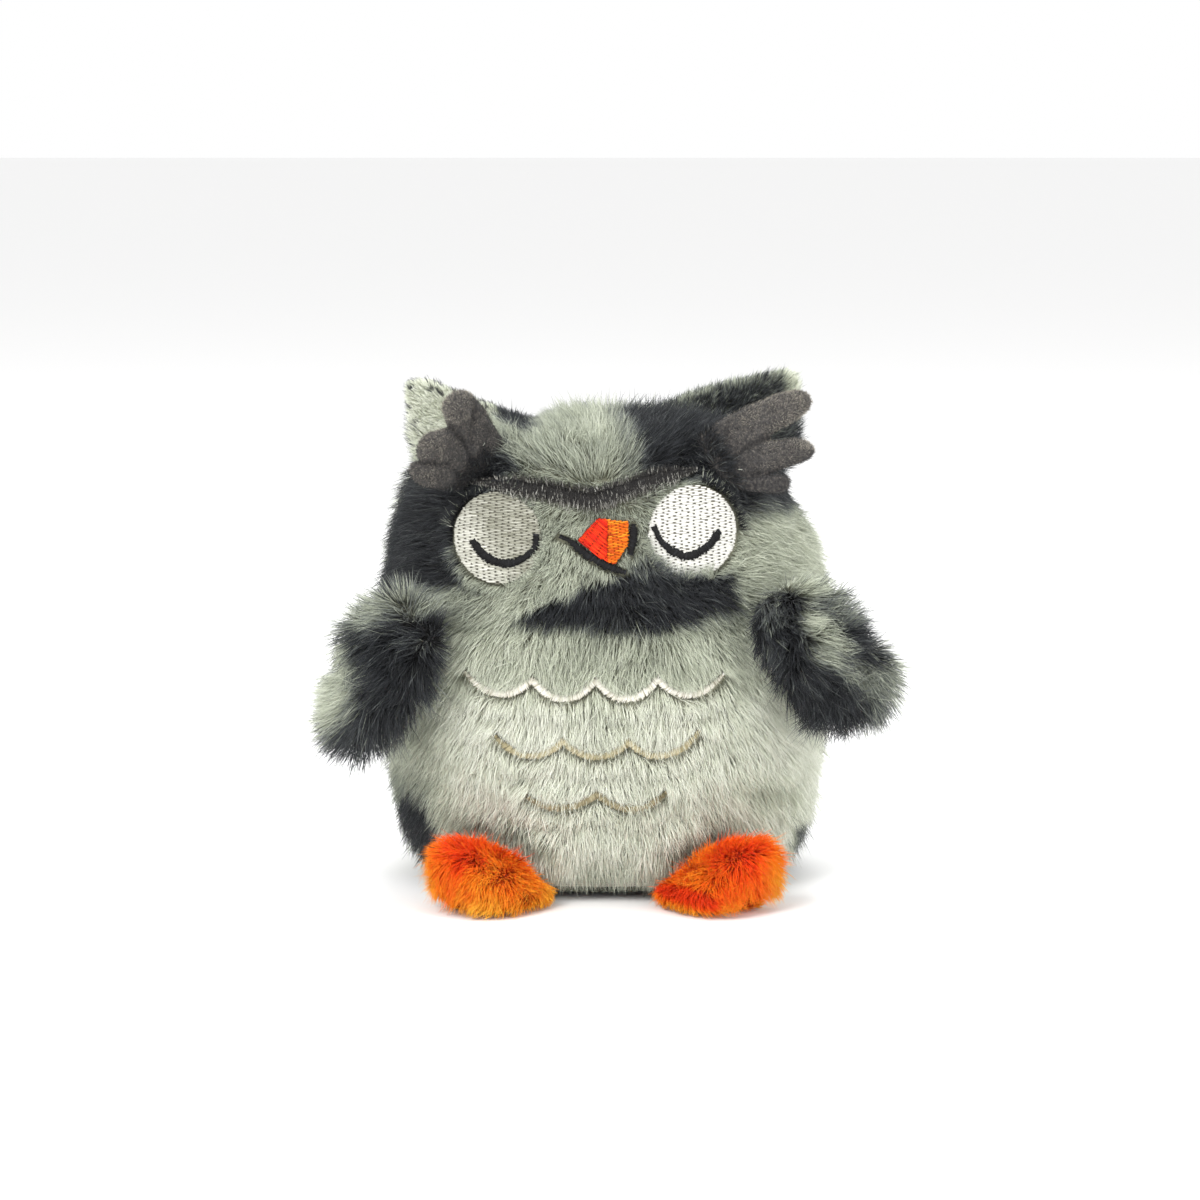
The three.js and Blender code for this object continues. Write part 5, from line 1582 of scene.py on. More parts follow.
def reach_of(outline, centre, directions):
    a = np.array(outline, float)
    b = np.roll(a, -1, axis=0)
    d = np.stack([np.cos(directions), np.sin(directions)], -1)
    rel = a - np.array(centre)
    e = b - a
    det = d[:, :1] * -e[:, 1] + d[:, 1:] * e[:, 0]
    det = np.where(np.abs(det) < 1e-9, 1e-9, det)
    r = (rel[:, 0] * -e[:, 1] + rel[:, 1] * e[:, 0]) / det
    s = (d[:, :1] * rel[:, 1] - d[:, 1:] * rel[:, 0]) / det
    ok = (s >= -1e-6) & (s <= 1 + 1e-6) & (r > 0)
    return np.where(ok, r, 0).max(1)


def wing_rim(sign, around):
    """How far the cloth's rim lies inside the tips of the pile: less where the wing lies on the body, and on top."""
    inner = np.maximum(smooth(-sign * np.cos(around) * 0.9 + 0.35), smooth(np.sin(around) * 1.1 - 0.05))
    return WING_RIM["out"] + (WING_RIM["in"] - WING_RIM["out"]) * inner


def wing_grid(side, outer_face, rows=22, cols=72):
    """Half of the blown-up pad: rows run from its rim to its middle."""
    sign, centre, outline = WINGS[side]
    around = np.linspace(0, 2 * math.pi, cols)
    reach = reach_of(outline, centre, around[:-1]) - wing_rim(sign, around[:-1])
    kernel = np.array([1, 2, 3, 2, 1]) / 9
    padded = np.concatenate([reach[-2:], reach, reach[:2]])
    reach = np.convolve(padded, kernel, "valid")
    reach = np.append(reach, reach[0])
    lat = np.radians(np.linspace(2.0, 89.5, rows))[:, None]
    flat = np.cos(lat) * reach
    x = centre[0] + flat * np.cos(around)
    z = centre[1] + flat * np.sin(around)
    thick = (WING_THICK - WING_INSET) * np.sin(lat) ** 0.85 * (1.0 if outer_face else -0.55)
    slope = (wing_plane(x + 0.1) - wing_plane(x - 0.1)) / 0.2
    normal = unit(np.stack([slope, -np.ones_like(slope), 0 * slope], -1))
    p = np.stack([x, wing_plane(x), z], -1) + normal * (thick + 0 * x)[..., None]
    p = p + normal * (0.35 * noise(p, 8, 15))[..., None]
    if not outer_face:
        return p[:, ::-1]
    return p


for side, (sign, centre, outline) in WINGS.items():
    root, tip = np.array(WING_ROOT[side]), np.array(WING_TIP[side])

    def hold_wing(obj, side=side, root=root, tip=tip):
        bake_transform(obj)

    for outer_face, kind in ((True, "outer"), (False, "inner")):
        grid = wing_grid(side, outer_face)
        flat_grid = grid.reshape(-1, 3)
        normal = vertex_normals(flat_grid, shell(grid, grid)[2]).reshape(grid.shape)
        toward = (normal[-1, 0] @ np.array([0, -1, 0])) > 0
        if toward != outer_face:
            grid = grid[:, ::-1]
            flat_grid = grid.reshape(-1, 3)
            normal = vertex_normals(flat_grid, shell(grid, grid)[2]).reshape(grid.shape)
        verts, faces, quads = shell(grid, grid - normal * CLOTH)
        obj = make_object(f"{side}_wing_{kind}_cloth", verts, faces, body_backing)
        flat_normal = normal.reshape(-1, 3)
        shade = pile_shade(flat_grid, flat_normal, WING_PATCHES[side], light=0.4, seed=47)
        set_shade(obj, np.concatenate([shade, shade]))
        weld(obj, 0.02)
        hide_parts(f"{side}_wing_{kind}_panel")
        hold_wing(obj)

        seed = 800 + 40 * (sign > 0) + 10 * outer_face
        roots, normals = scatter(flat_grid, quads, 8.5 if outer_face else 4.0, seed)
        r = np.random.default_rng(seed + 1)
        n = len(roots)
        xz = roots[:, ::2]
        axis = unit(tip - root)
        heart = root + axis * 11.0
        off = np.linalg.norm(xz - heart, axis=1)
        out = (xz - heart) / np.sqrt(off**2 + 130.0)[:, None]
        near_heart = np.exp(-((off / 9.0) ** 2))[:, None]
        d2 = axis * 0.46 + out + (0.7 + 0.5 * near_heart) * noise3(roots, 4.5, seed + 61)[:, :2]
        toward_body = np.maximum(0, -sign * d2[:, 0])
        d2[:, 0] += sign * toward_body * 0.6
        flow = np.stack([d2[:, 0], 0.25 * np.abs(d2[:, 0]), d2[:, 1]], -1)
        flow = unit(flow - (flow * normals).sum(1, keepdims=True) * normals)
        along = ((xz - root) @ axis) / np.linalg.norm(tip - root)
        size = (7.8 + 3.4 * smooth(along)) * (0.76 + 0.42 * r.random(n)) * (1 + 0.22 * noise(roots, 4, seed + 21))
        if not outer_face:
            edge = smooth((np.hypot(*(xz - np.array(centre)).T) - 8) / 8)
            size = size * (0.38 + 0.4 * edge)
        inside_edge = smooth((-sign * (roots[:, 0] - centre[0]) - 6) / 8)
        size = size * (1 - 0.35 * inside_edge)
        spread = smooth(off / 15.0)
        lean = (20 + 14 * spread, 44 + 22 * spread) if outer_face else (55, 78)
        pts = grow(roots, normals, flow, size, lean, seed + 2, clump=0.46, spacing=1.6, curl=0.9, wisp=0.18, tufts=0.44, uneven=1.5, frizz=0.46)
        seen = pts[:, 0] * 0.3 + pts[:, 3] * 0.7
        shade = pile_shade(seen, normals if outer_face else -normals, WING_PATCHES[side], light=0.34, seed=47)
        shade = shade + 0.16 * noise(roots, 3.0, 57) + 0.07 * r.normal(size=n) * (0.4 + smooth(shade / 0.4))
        frost = r.random(n)
        shade = shade + np.where(frost > 0.88, 0.2, 0.0) * (shade < 0.5)
        plant(f"{side}_wing_{kind}_pile", pts, 0.1 * (0.8 + 0.4 * r.random(n)), shade, body_pile, hold_wing, pts[:, 0, 2])

    # loose filling inside the pad
    around = np.linspace(0, 2 * math.pi, 48, endpoint=False)
    reach = reach_of(outline, centre, around) - wing_rim(sign, around) - 1.0
    reach = np.convolve(np.concatenate([reach[-2:], reach, reach[:2]]), np.array([1, 2, 3, 2, 1]) / 9, "valid")
    lat = np.radians(np.linspace(0.0, 86.0, 12))[:, None]
    halves = []
    for outward in (1.0, -0.4):
        x = centre[0] + np.cos(lat) * reach * np.cos(around)
        z = centre[1] + np.cos(lat) * reach * np.sin(around)
        slope = (wing_plane(x + 0.1) - wing_plane(x - 0.1)) / 0.2
        normal = unit(np.stack([slope, -np.ones_like(slope), 0 * slope], -1))
        thick = (WING_THICK - WING_INSET - 1.7) * np.sin(lat) ** 0.85 * outward
        p = np.stack([x, wing_plane(x), z], -1) + normal * (thick + 0 * x)[..., None]
        p = p + normal * (0.25 * np.sin(lat) * noise(p, 5, 16))[..., None]
        halves.append(p)
    rows, cols = halves[0].shape[:2]
    verts = np.concatenate([h.reshape(-1, 3) for h in halves])
    j = np.arange(cols)
    k = (j + 1) % cols
    quads = [np.stack([h * rows * cols + i * cols + j, h * rows * cols + i * cols + k, h * rows * cols + (i + 1) * cols + k, h * rows * cols + (i + 1) * cols + j], -1) for h in (0, 1) for i in range(rows - 1)]
    caps = [np.array([h * rows * cols + (rows - 1) * cols + j]) for h in (0, 1)]
    pad = make_object(f"{side}_wing_filling", verts, [np.concatenate(quads), np.concatenate(caps)], fibre_fill)
    weld(pad, 0.03)
    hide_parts(f"{side}_wing_stuffing")
    hold_wing(pad)

# ---- feet -----------------------------------------------------------------

FOOT = dict(half_length=16.2, half_width=13.8, height=18.0, x=27.6, y=-42.4, toe_out=38, rise=0.1)
FOOT_TAPER = {-1: (3.0, 19.0, 0.98), 1: (8.0, 23.0, 1.04)}
# darker pile at the top of the right foot, and painted shadow under the fold of the left one
FOOT_PATCHES = {
    "right": [([(506, 838), (524, 840), (540, 852), (548, 864), (530, 858), (512, 848)], 0.03, 4)],
    "left": [([(650, 888), (668, 884), (700, 892), (722, 902), (716, 912), (690, 908), (664, 900)], 0.03, 4)],
}
FOOT_PATCHES = {k: [(np.array(o, float), v, s) for o, v, s in p] for k, p in FOOT_PATCHES.items()}
FOOT_STEPS = np.array([[0.0, 0.0], [0.72, 0], [0.9, 0.08], [0.985, 0.22], [1.0, 0.4], [0.95, 0.62], [0.8, 0.82], [0.5, 0.96], [0.0, 1.0]])


def foot_grid(sign, inset, lower, rows=18, cols=64, floor=0.9, split=3.0, back=0.0):
    """Part of the foot's surface: the sole and its rim, or the top."""
    path = np.vstack([[0, 0], spline(FOOT_STEPS[1:8], 60), [0, 1.0]])
    path = resample(path, 0.01)
    height = FOOT["height"] - inset - floor
    widest = int(np.argmax(path[:, 0]))
    cut = int(np.argmin(np.abs(floor + path[:widest, 1] * height - split)))
    part = path[: cut + 1] if lower else path[cut:]
    rowed = resample(part, max(np.linalg.norm(np.diff(part, axis=0), axis=1).sum() / (rows - 1), 1e-4))
    a = np.linspace(0, 2 * math.pi, cols)
    radius, h = rowed[:, :1], rowed[:, 1:]
    square = 1 + 0.1 * np.sin(2 * a) ** 2 * np.where(np.cos(a) > 0, 1, 0.3)
    across = np.sin(a) * radius * (FOOT["half_width"] - inset) * square
    along = np.cos(a) * radius * (FOOT["half_length"] - inset) * square
    turn = sign * math.radians(FOOT["toe_out"])
    x = sign * FOOT["x"] + across * math.cos(turn) + along * math.sin(turn)
    y = FOOT["y"] + 0.6 + across * math.sin(turn) - along * math.cos(turn)
    z = floor + h * height * (1 + FOOT["rise"] * (sign * x - FOOT["x"]) / FOOT["half_length"]) + 0 * x
    # the foot is high and square at its outer side and runs out low toward the middle
    start, run, lift = FOOT_TAPER[sign]
    inner = smooth((FOOT["x"] + start - sign * x) / run)
    outer = smooth((sign * x - FOOT["x"] + 1.0) / 9.0)
    share = np.clip((z - floor) / height, 0, 1)
    z = floor + height * (1 - (1 - share) ** (1 + 1.1 * outer)) + np.maximum(z - floor - height, 0)
    z = floor + (z - floor) * (lift - 0.66 * inner)
    x = x - sign * 2.4 * inner
    limit = np.minimum(front_y(x, np.maximum(z, 0)) - 1.4, -41.2) - back
    hit = smooth((y - limit) / 0.01)
    y = np.where(y > limit, limit, y)
    return np.stack([x, y, z], -1), hit


for side, sign in (("right", -1), ("left", 1)):

    def hold_foot(obj, side=side, sign=sign):
        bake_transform(obj)

    for lower, kind in ((False, "top"), (True, "sole")):
        grid, _ = foot_grid(sign, 3.0, lower, rows=16 if not lower else 8)
        flat_grid = grid.reshape(-1, 3)
        quads = shell(grid, grid)[2]
        normal = vertex_normals(flat_grid, quads)
        middle = flat_grid.mean(0) + np.array([0, 0, 2.0 if lower else -2.0])
        if ((flat_grid - middle) * normal).sum() < 0:
            grid = grid[:, ::-1]
            flat_grid = grid.reshape(-1, 3)
            normal = vertex_normals(flat_grid, quads)
        inner = grid - normal.reshape(grid.shape) * CLOTH
        if lower:
            inner[..., 2] = np.maximum(inner[..., 2], grid[..., 2] + 0.2)
        verts, faces, quads = shell(grid, inner)
        obj = make_object(f"{side}_foot_{kind}_cloth", verts, faces, foot_backing)
        set_shade(obj, np.full(len(verts), 0.5))
        weld(obj, 0.02)
        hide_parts(f"{side}_foot_{'top_panel' if not lower else 'sole'}")
        hold_foot(obj)
        seed = 900 + 20 * (sign > 0) + 5 * lower
        roots, normals = scatter(flat_grid, quads, 10.0 if not lower else 4.0, seed)
        # none where the foot is sewn against the body
        open_side = (roots[:, 1] < -43.5 + 0.6 * np.sin(roots[:, 0])) | (roots[:, 1] < front_y(roots[:, 0], np.maximum(roots[:, 2], 0)) - 2.2)
        roots, normals = roots[open_side], normals[open_side]
        r = np.random.default_rng(seed + 1)
        n = len(roots)
        turn = sign * math.radians(FOOT["toe_out"])
        heel = np.array([sign * FOOT["x"] - 17 * math.sin(turn), FOOT["y"] + 17 * math.cos(turn)])
        d = unit(roots[:, :2] - heel)
        flow = np.stack([d[:, 0], d[:, 1], -0.5 + 0 * d[:, 0]], -1)
        flow = unit(flow - (flow * normals).sum(1, keepdims=True) * normals)
        size = (5.6 if not lower else 2.8) * (0.8 + 0.36 * r.random(n)) * (1 + 0.16 * noise(roots, 4, seed + 21))
        size = size * (1 - 0.35 * smooth((FOOT["x"] - 4 - sign * roots[:, 0]) / 12))
        size = np.where(normals[:, 1] > 0.3, np.minimum(size, 2.6), size)
        pts = grow(roots, normals, flow, size, (32, 70) if not lower else (60, 84), seed + 2, clump=0.42, spacing=1.5, curl=0.85, wisp=0.1, frizz=0.42)
        low = pts[:, :, 2] < 0.35
        pts[:, :, 2] = np.where(low, 0.35 + 0.25 * r.random((n, 1)) * RINGS, pts[:, :, 2])
        shade = (0.5 if side == "left" else 0.54) + 0.22 * noise(roots, 7, 83) + 0.16 * noise(roots, 2.6, 84) + 0.1 * r.normal(size=n)
        shade = shade + 0.4 * smooth((sign * roots[:, 0] - 34) / 8) + 0.28 * smooth((8 - roots[:, 2]) / 6) - 0.16 * smooth((roots[:, 2] - 9) / 6)
        shade = np.maximum(shade, 0.14)
        q = project(pts[:, 0] * 0.35 + pts[:, 3] * 0.65)
        for o, value, soft in FOOT_PATCHES[side]:
            w = smooth(0.5 - outline_distance(q, o) / (2 * soft))
            shade = shade + (value - shade) * w * 0.85
        plant(f"{side}_foot_{kind}_pile", pts, 0.1 * (0.8 + 0.4 * r.random(n)), shade, foot_pile, hold_foot, pts[:, 0, 2])

    # loose filling inside the foot
    core = foot_grid(sign, 4.6, False, rows=13, cols=49, floor=1.7, split=2.2, back=1.3)[0][:-1, :-1]
    rows, cols = core.shape[:2]
    core = core + 0.2 * noise3(core, 4, 17)
    j = np.arange(cols)
    k = (j + 1) % cols
    quads = np.concatenate([np.stack([i * cols + j, i * cols + k, (i + 1) * cols + k, (i + 1) * cols + j], -1) for i in range(rows - 1)])
    caps = np.stack([j, (rows - 1) * cols + j])
    pad = make_object(f"{side}_foot_filling", core, [quads, caps], fibre_fill)
    weld(pad, 0.03)
    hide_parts(f"{side}_foot_stuffing")
    hold_foot(pad)

# ---- ears -----------------------------------------------------------------

EARS = {
    "right": (-1, (-38.0, 114.0), [[-49.8, 124.6], [-48.2, 125.8], [-44.4, 125.8], [-39.0, 123.5], [-34.0, 121.3], [-28.4, 119.4], [-23.2, 116.6], [-17.5, 114.4], [-15.5, 111.0], [-43.5, 99], [-46.0, 105.3], [-47.0, 108], [-47.9, 112.5], [-48.8, 117], [-49.6, 121.5]]),
    "left": (1, (38.0, 115.0), [[11.5, 116.8], [16.0, 119.4], [20.6, 121.5], [28.5, 124.2], [35.7, 125.9], [40.9, 127.2], [46.0, 127.7], [48.0, 127.0], [48.6, 124.0], [48.0, 118], [47.3, 112], [46.6, 107.6], [45.6, 105.2], [42.5, 99], [12.0, 112]]),
}

EAR_PATCHES = {
    # light ear with a dark patch low on its inner slope
    "right": [([(494, 404), (520, 404), (556, 420), (566, 434), (530, 432), (504, 420)], 0.12, 5)],
    # dark ear with a light tip
    "left": [([(790, 360), (808, 360), (806, 392), (790, 392), (786, 376)], 0.62, 4)],
}
for side, (sign, centre, outline) in EARS.items():

    def hold_ear(obj, side=side, sign=sign):
        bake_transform(obj)

    around = np.linspace(0, 2 * math.pi, 97)
    reach = reach_of(outline, centre, around[:-1]) - 0.3
    padded = np.concatenate([reach[-1:], reach, reach[:1]])
    reach = np.convolve(padded, np.array([0.2, 0.6, 0.2]), "valid")
    reach = np.append(reach, reach[0])
    patches = [(np.array(o, float), v, s) for o, v, s in EAR_PATCHES[side]]
    for front_face, kind in ((True, "front"), (False, "back")):
        share = np.array([1.0, 0.985, 0.95, 0.88, 0.75, 0.55, 0.3, 0.04])[:, None]
        bulge = np.array([0.0, 0.9, 1.35, 1.7, 1.95, 2.1, 2.2, 2.25])[:, None]
        x = centre[0] + share * reach * np.cos(around)
        z = centre[1] + share * reach * np.sin(around)
        y = (0.2 + bulge) * (-1 if front_face else 1) + 0 * x
        y = y + 0.15 * noise(np.stack([x, y, z], -1), 5, 25)
        grid = np.stack([x, y, z], -1)
        if not front_face:
            grid = grid[:, ::-1]
        flat_grid = grid.reshape(-1, 3)
        quads = shell(grid, grid)[2]
        normal = vertex_normals(flat_grid, quads)
        if (normal[len(normal) // 2, 1] < 0) != front_face:
            grid = grid[:, ::-1]
            flat_grid = grid.reshape(-1, 3)
            normal = vertex_normals(flat_grid, quads)
        inner = grid.copy()
        inner[..., 1] = -0.16 if front_face else 0.16
        verts, faces, quads = shell(grid, inner)
        obj = make_object(f"{side}_ear_{kind}_cloth", verts, faces, ear_backing)
        if side == "right":
            base_light = 0.87 if front_face else 0.2
        else:
            base_light = 0.2 if front_face else 0.3
        tone = np.full(len(flat_grid), base_light)
        set_shade(obj, np.concatenate([tone, tone]))
        weld(obj, 0.02)
        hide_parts(f"{side}_ear_{kind}_panel")
        hold_ear(obj)
        seed = 1000 + 40 * (sign > 0) + 10 * front_face
        roots, normals = scatter(flat_grid, quads, 11.0, seed)
        stay = roots[:, 2] > 104
        roots, normals = roots[stay], normals[stay]
        r = np.random.default_rng(seed + 1)
        n = len(roots)
        peak = np.array([sign * 52.0, 130.0])
        d = unit(unit(roots[:, ::2] - np.array([sign * 30, 108.0])) + 0.6 * unit(peak - roots[:, ::2]))
        flow = np.stack([d[:, 0], 0 * d[:, 0], d[:, 1]], -1)
        flow = unit(flow - (flow * normals).sum(1, keepdims=True) * normals)
        low_down = smooth((119 - roots[:, 2]) / 8)
        size = ((2.2 if side == "right" else 2.9) + 2.2 * low_down) * (0.7 + 0.5 * r.random(n))
        pts = grow(roots, normals, flow, size, (30, 64), seed + 2, clump=0.4, spacing=1.0, curl=0.6)
        shade = base_light + 0.1 * noise(roots, 4, 91) + 0.1 * r.normal(size=n) + (0.3 if side == "left" else 0.1) * np.maximum(noise(roots, 1.1, 93), 0) ** 2
        q = project(pts[:, 3])
        for o, value, soft in patches:
            w = smooth(0.5 - outline_distance(q, o) / (2 * soft))
            shade = shade + (value - shade) * w
        if side == "left" and front_face:
            # lighter backing shows along its upper rim
            gap = -outline_distance(roots[:, ::2], np.array(outline, float))
            edge = smooth(1 - gap / 3.4) * smooth((roots[:, 2] - 112) / 6)
            shade = shade + 0.3 * edge * (noise(roots, 1.3, 98) > -0.1)
        if side == "right" and front_face:
            # dark specks of backing along the turned rim
            gap = -outline_distance(roots[:, ::2], np.array(outline, float))
            speck = (gap < 2.2) & (noise(roots, 0.9, 97) > 0.35)
            shade = np.where(speck, 0.2, shade)
        plant(f"{side}_ear_{kind}_pile", pts, 0.09 * (0.8 + 0.4 * r.random(n)), shade, body_pile, hold_ear, pts[:, 0, 2])

# ---- felt tufts -----------------------------------------------------------

FELT = 2.0
# outlines along the seam and outward from it, with the lobes as they lie
TUFTS = {
    "left": dict(sign=1, low=(31.3, -33.4, 103.4), high=(24.9, -27.7, 114.5), facing=(0.13, -0.85, 0.51), fold=0, outline=[
        [15.6, -0.6], [16.6, 8.3], [16.8, 16.0], [16.4, 22.6], [15.4, 26.6], [13.4, 28.4], [11.3, 28.0], [9.8, 26.4], [9.0, 22.6], [8.6, 18.4], [8.2, 15.0], [7.0, 12.8], [5.4, 14.6],
        [4.2, 18.6], [2.2, 21.8], [-0.1, 22.6], [-1.7, 21.2], [-1.9, 18.0], [-1.1, 13.6], [-0.9, 9.6], [-2.0, 9.4], [-3.4, 12.2], [-5.0, 13.2], [-6.6, 11.8], [-6.8, 9.8], [-5.2, 6.8], [-2.4, 3.0], [0.8, 0.2], [5.6, -1.2], [11.0, -1.4]], creases=[[[7.0, 12.6], [6.4, 6.0], [5.6, 0.5]], [[-1.4, 9.0], [1.5, 0.5]]]),
    "right": dict(sign=-1, low=(-36.4, -30.4, 101.9), high=(-27.6, -26.6, 111.4), facing=(-0.2, -0.84, 0.5), fold=68, outline=[
        [8.9, 19.6], [9.8, 21.4], [12.2, 22.0], [14.8, 21.0], [16.9, 19.2], [17.6, 16.8], [18.1, 13.5], [18.2, 9.6], [17.9, 6.1], [17.2, 2.6], [16.0, -0.4], [13.0, -2.0], [9.4, -2.2], [5.2, -1.4], [1.4, 0.4],
        [-1.6, 2.8], [-4.2, 5.8], [-5.8, 8.8], [-6.2, 11.8], [-5.6, 14.4], [-4.0, 15.2], [-2.9, 14.8], [-2.3, 16.9], [-1.0, 18.6], [1.3, 19.6], [3.9, 19.0], [6.2, 17.2], [7.6, 16.4]], creases=[[[7.8, 16.6], [8.6, 9.0], [6.8, 3.0]], [[-3.0, 15.0], [1.6, 9.0], [2.6, 4.0]], [[17.6, 15.4], [12.6, 11.0], [10.0, 8.0]]]),
}


def tuft_frame(spec):
    low, high, facing = (np.array(spec[k], float) for k in ("low", "high", "facing"))
    along = unit(high - low)
    facing = unit(facing - (facing @ along) * along)
    flat = np.cross(along, facing) * spec["sign"]
    fold = math.radians(spec["fold"])
    out = math.cos(fold) * flat + math.sin(fold) * facing
    through = np.cross(along, out)
    return low, along, out, through


def felt_mesh(name, outline, cell=0.4):
    """A flat felt shape in its own plane: along, outward, thickness. Its lobes are swollen like stuffed fingers after
    it is made.
    """
    bm = bmesh.new()
    dense = resample(outline, 0.35, closed=True)
    ring = [bm.verts.new((*(p * MM), -0.5 * FELT * MM)) for p in dense]
    face_made = bm.faces.new(ring)
    bmesh.ops.triangulate(bm, faces=[face_made])
    made = bmesh.ops.extrude_face_region(bm, geom=bm.faces[:])
    lifted = [g for g in made["geom"] if isinstance(g, bmesh.types.BMVert)]
    bmesh.ops.translate(bm, verts=lifted, vec=(0, 0, FELT * MM))
    bmesh.ops.recalc_face_normals(bm, faces=bm.faces)
    mesh = bpy.data.meshes.new(name)
    bm.to_mesh(mesh)
    bm.free()
    obj = bpy.data.objects.new(name, mesh)
    bpy.context.scene.collection.objects.link(obj)
    remesh = obj.modifiers.new("even", "REMESH")
    remesh.mode = "VOXEL"
    remesh.voxel_size = cell * MM
    soften = obj.modifiers.new("soften", "SMOOTH")
    soften.factor = 0.5
    soften.iterations = 2
    graph = bpy.context.evaluated_depsgraph_get()
    baked = bpy.data.meshes.new_from_object(obj.evaluated_get(graph))
    obj.modifiers.clear()
    obj.data = baked
    bpy.data.meshes.remove(mesh)
    return obj


for side, spec in TUFTS.items():
    low, along, out, through = tuft_frame(spec)
    inward = -unit(np.array(spec["facing"], float))
    outline = spline(spec["outline"], 200, closed=True)
    obj = felt_mesh(f"{side}_felt", outline)
    mesh = obj.data
    co = np.zeros(len(mesh.vertices) * 3, np.float32)
    mesh.vertices.foreach_get("co", co)
    co = co.reshape(-1, 3).astype(float) / MM
    u, o, w = co.T
    inside = np.maximum(-outline_distance(co[:, :2], outline), 0)
    round_off = np.sqrt(np.clip(1 - (1 - np.minimum(inside / 2.6, 1)) ** 2, 0.01, 1))
    swell = w * (0.25 + 1.45 * round_off)
    for crease in spec["creases"]:
        gap, along_crease = line_distance(co[:, :2], np.array(crease, float))
        swell = swell * (1 - 0.7 * np.exp(-((gap / 0.9) ** 2)) * (1 - 0.6 * along_crease))
    if side == "left":
        curl = 0.004 * (u - 5) ** 2 * smooth(o / 10) - 0.9 * smooth((o - 8) / 14)
    else:
        # it is folded over toward the front, and its lobes cup
        curl = -0.012 * (u - 6) ** 2 * smooth(o / 8) + 1.6 * smooth((o - 6) / 12)
    ripple = 0.3 * noise(np.stack([u, o, 0 * u], -1), 4.5, 31)
    w2 = swell + curl + ripple
    place = low + along * u[:, None] + out * o[:, None] + through * w2[:, None]
    # its root is sewn into the seam, under the pile
    place = place + inward * (2.9 * (1 - smooth((o + 1.5) / 11.0)))[:, None]
    mesh.vertices.foreach_set("co", (place * MM).astype(np.float32).ravel())
    mesh.polygons.foreach_set("use_smooth", np.full(len(mesh.polygons), True))
    mesh.materials.clear()
    mesh.materials.append(felt_sheet)
    bm = bmesh.new()
    bm.from_mesh(mesh)
    bmesh.ops.recalc_face_normals(bm, faces=bm.faces)
    bm.to_mesh(mesh)
    bm.free()
    mesh.update()

    def hold_tuft(piece, side=side, low=low, out=out, along=along):
        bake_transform(piece)

    normals = np.zeros(len(mesh.vertices) * 3, np.float32)
    mesh.vertices.foreach_get("normal", normals)
    normals = normals.reshape(-1, 3).astype(float)
    quads = np.array([p.vertices[:] for p in mesh.polygons if len(p.vertices) == 4])
    seed = 1100 + (side == "left")
    roots, spread = scatter(place, quads, 13.0, seed, normals=normals)
    r = np.random.default_rng(seed)
    n = len(roots)
    flow = unit(out[None] * 0.5 + r.normal(size=(n, 3)))
    size = 1.0 * (0.5 + 0.9 * r.random(n))
    pts = grow(roots, spread, flow, size, (20, 80), seed + 2, clump=0.2, spacing=0.7, curl=1.0, tufts=0)
    flat_roots = np.stack([(roots - low) @ along, (roots - low) @ out], -1)
    tone = (0.4 if side == "right" else 0.44) + 0.2 * noise(roots, 2.2, 35) + 0.16 * r.normal(size=n) + np.where(r.random(n) > 0.86, 0.36, 0)
    # painted light and shade: the fuzz is lighter out toward the lobe tips and darker near the root
    tone = tone + 0.24 * smooth((flat_roots[:, 1] - 10) / 14) - 0.3 * (1 - smooth((flat_roots[:, 1] - 1) / 9))
    if side == "left":
        # painted shade on the fingers lying under the top one: the lowest much darker, the middle one a little
        tone = tone - 0.32 * smooth((-0.4 - flat_roots[:, 0]) / 1.6) - 0.08 * smooth((6.5 - flat_roots[:, 0]) / 2)
    # painted shade in the creases between the lobes
    for crease in spec["creases"]:
        gap, _ = line_distance(flat_roots, np.array(crease, float))
        tone = tone - 0.4 * np.exp(-((gap / 1.0) ** 2))
    plant(f"{side}_felt_fuzz", pts, 0.055 * (0.8 + 0.4 * r.random(n)), tone, felt_pile, hold_tuft, roots @ out)

    # long pile caught over the root of the felt, on its outer face
    reach_over = 2.4 if side == "left" else 3.0
    roots2, spread2 = scatter(place, quads, 7.0, seed + 60, normals=normals)
    rel2 = roots2 - low
    flat2 = np.stack([rel2 @ along, rel2 @ out], -1)
    chance = np.random.default_rng(seed + 61).random(len(roots2))
    facing_out = spread2 @ np.array([0.0, -1.0, 0.2]) > 0.1
    stay = facing_out & (flat2[:, 1] < reach_over * (0.5 + 0.7 * chance))
    if side == "right":
        stay = stay & (flat2[:, 0] < 12)
    roots2, spread2, flat2 = roots2[stay], spread2[stay], flat2[stay]
    r = np.random.default_rng(seed + 62)
    n = len(roots2)
    flow = np.broadcast_to(out - 0.25 * along, roots2.shape)
    size = (4.6 if side == "left" else 3.2) * (0.6 + 0.6 * r.random(n))
    pts = grow(roots2, spread2, flow, size, (34, 74), seed + 63, clump=0.5, spacing=1.4, curl=0.7, wisp=0.15)
    tone = 0.1 + 0.06 * r.normal(size=n) + np.where(r.random(n) > 0.92, 0.22, 0)
    plant(f"{side}_tuft_cover_pile", pts, 0.085 * (0.8 + 0.4 * r.random(n)), tone, body_pile, hold_tuft, flat2[:, 1])
    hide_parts(f"{side}_felt_tuft")
    hold_tuft(obj)

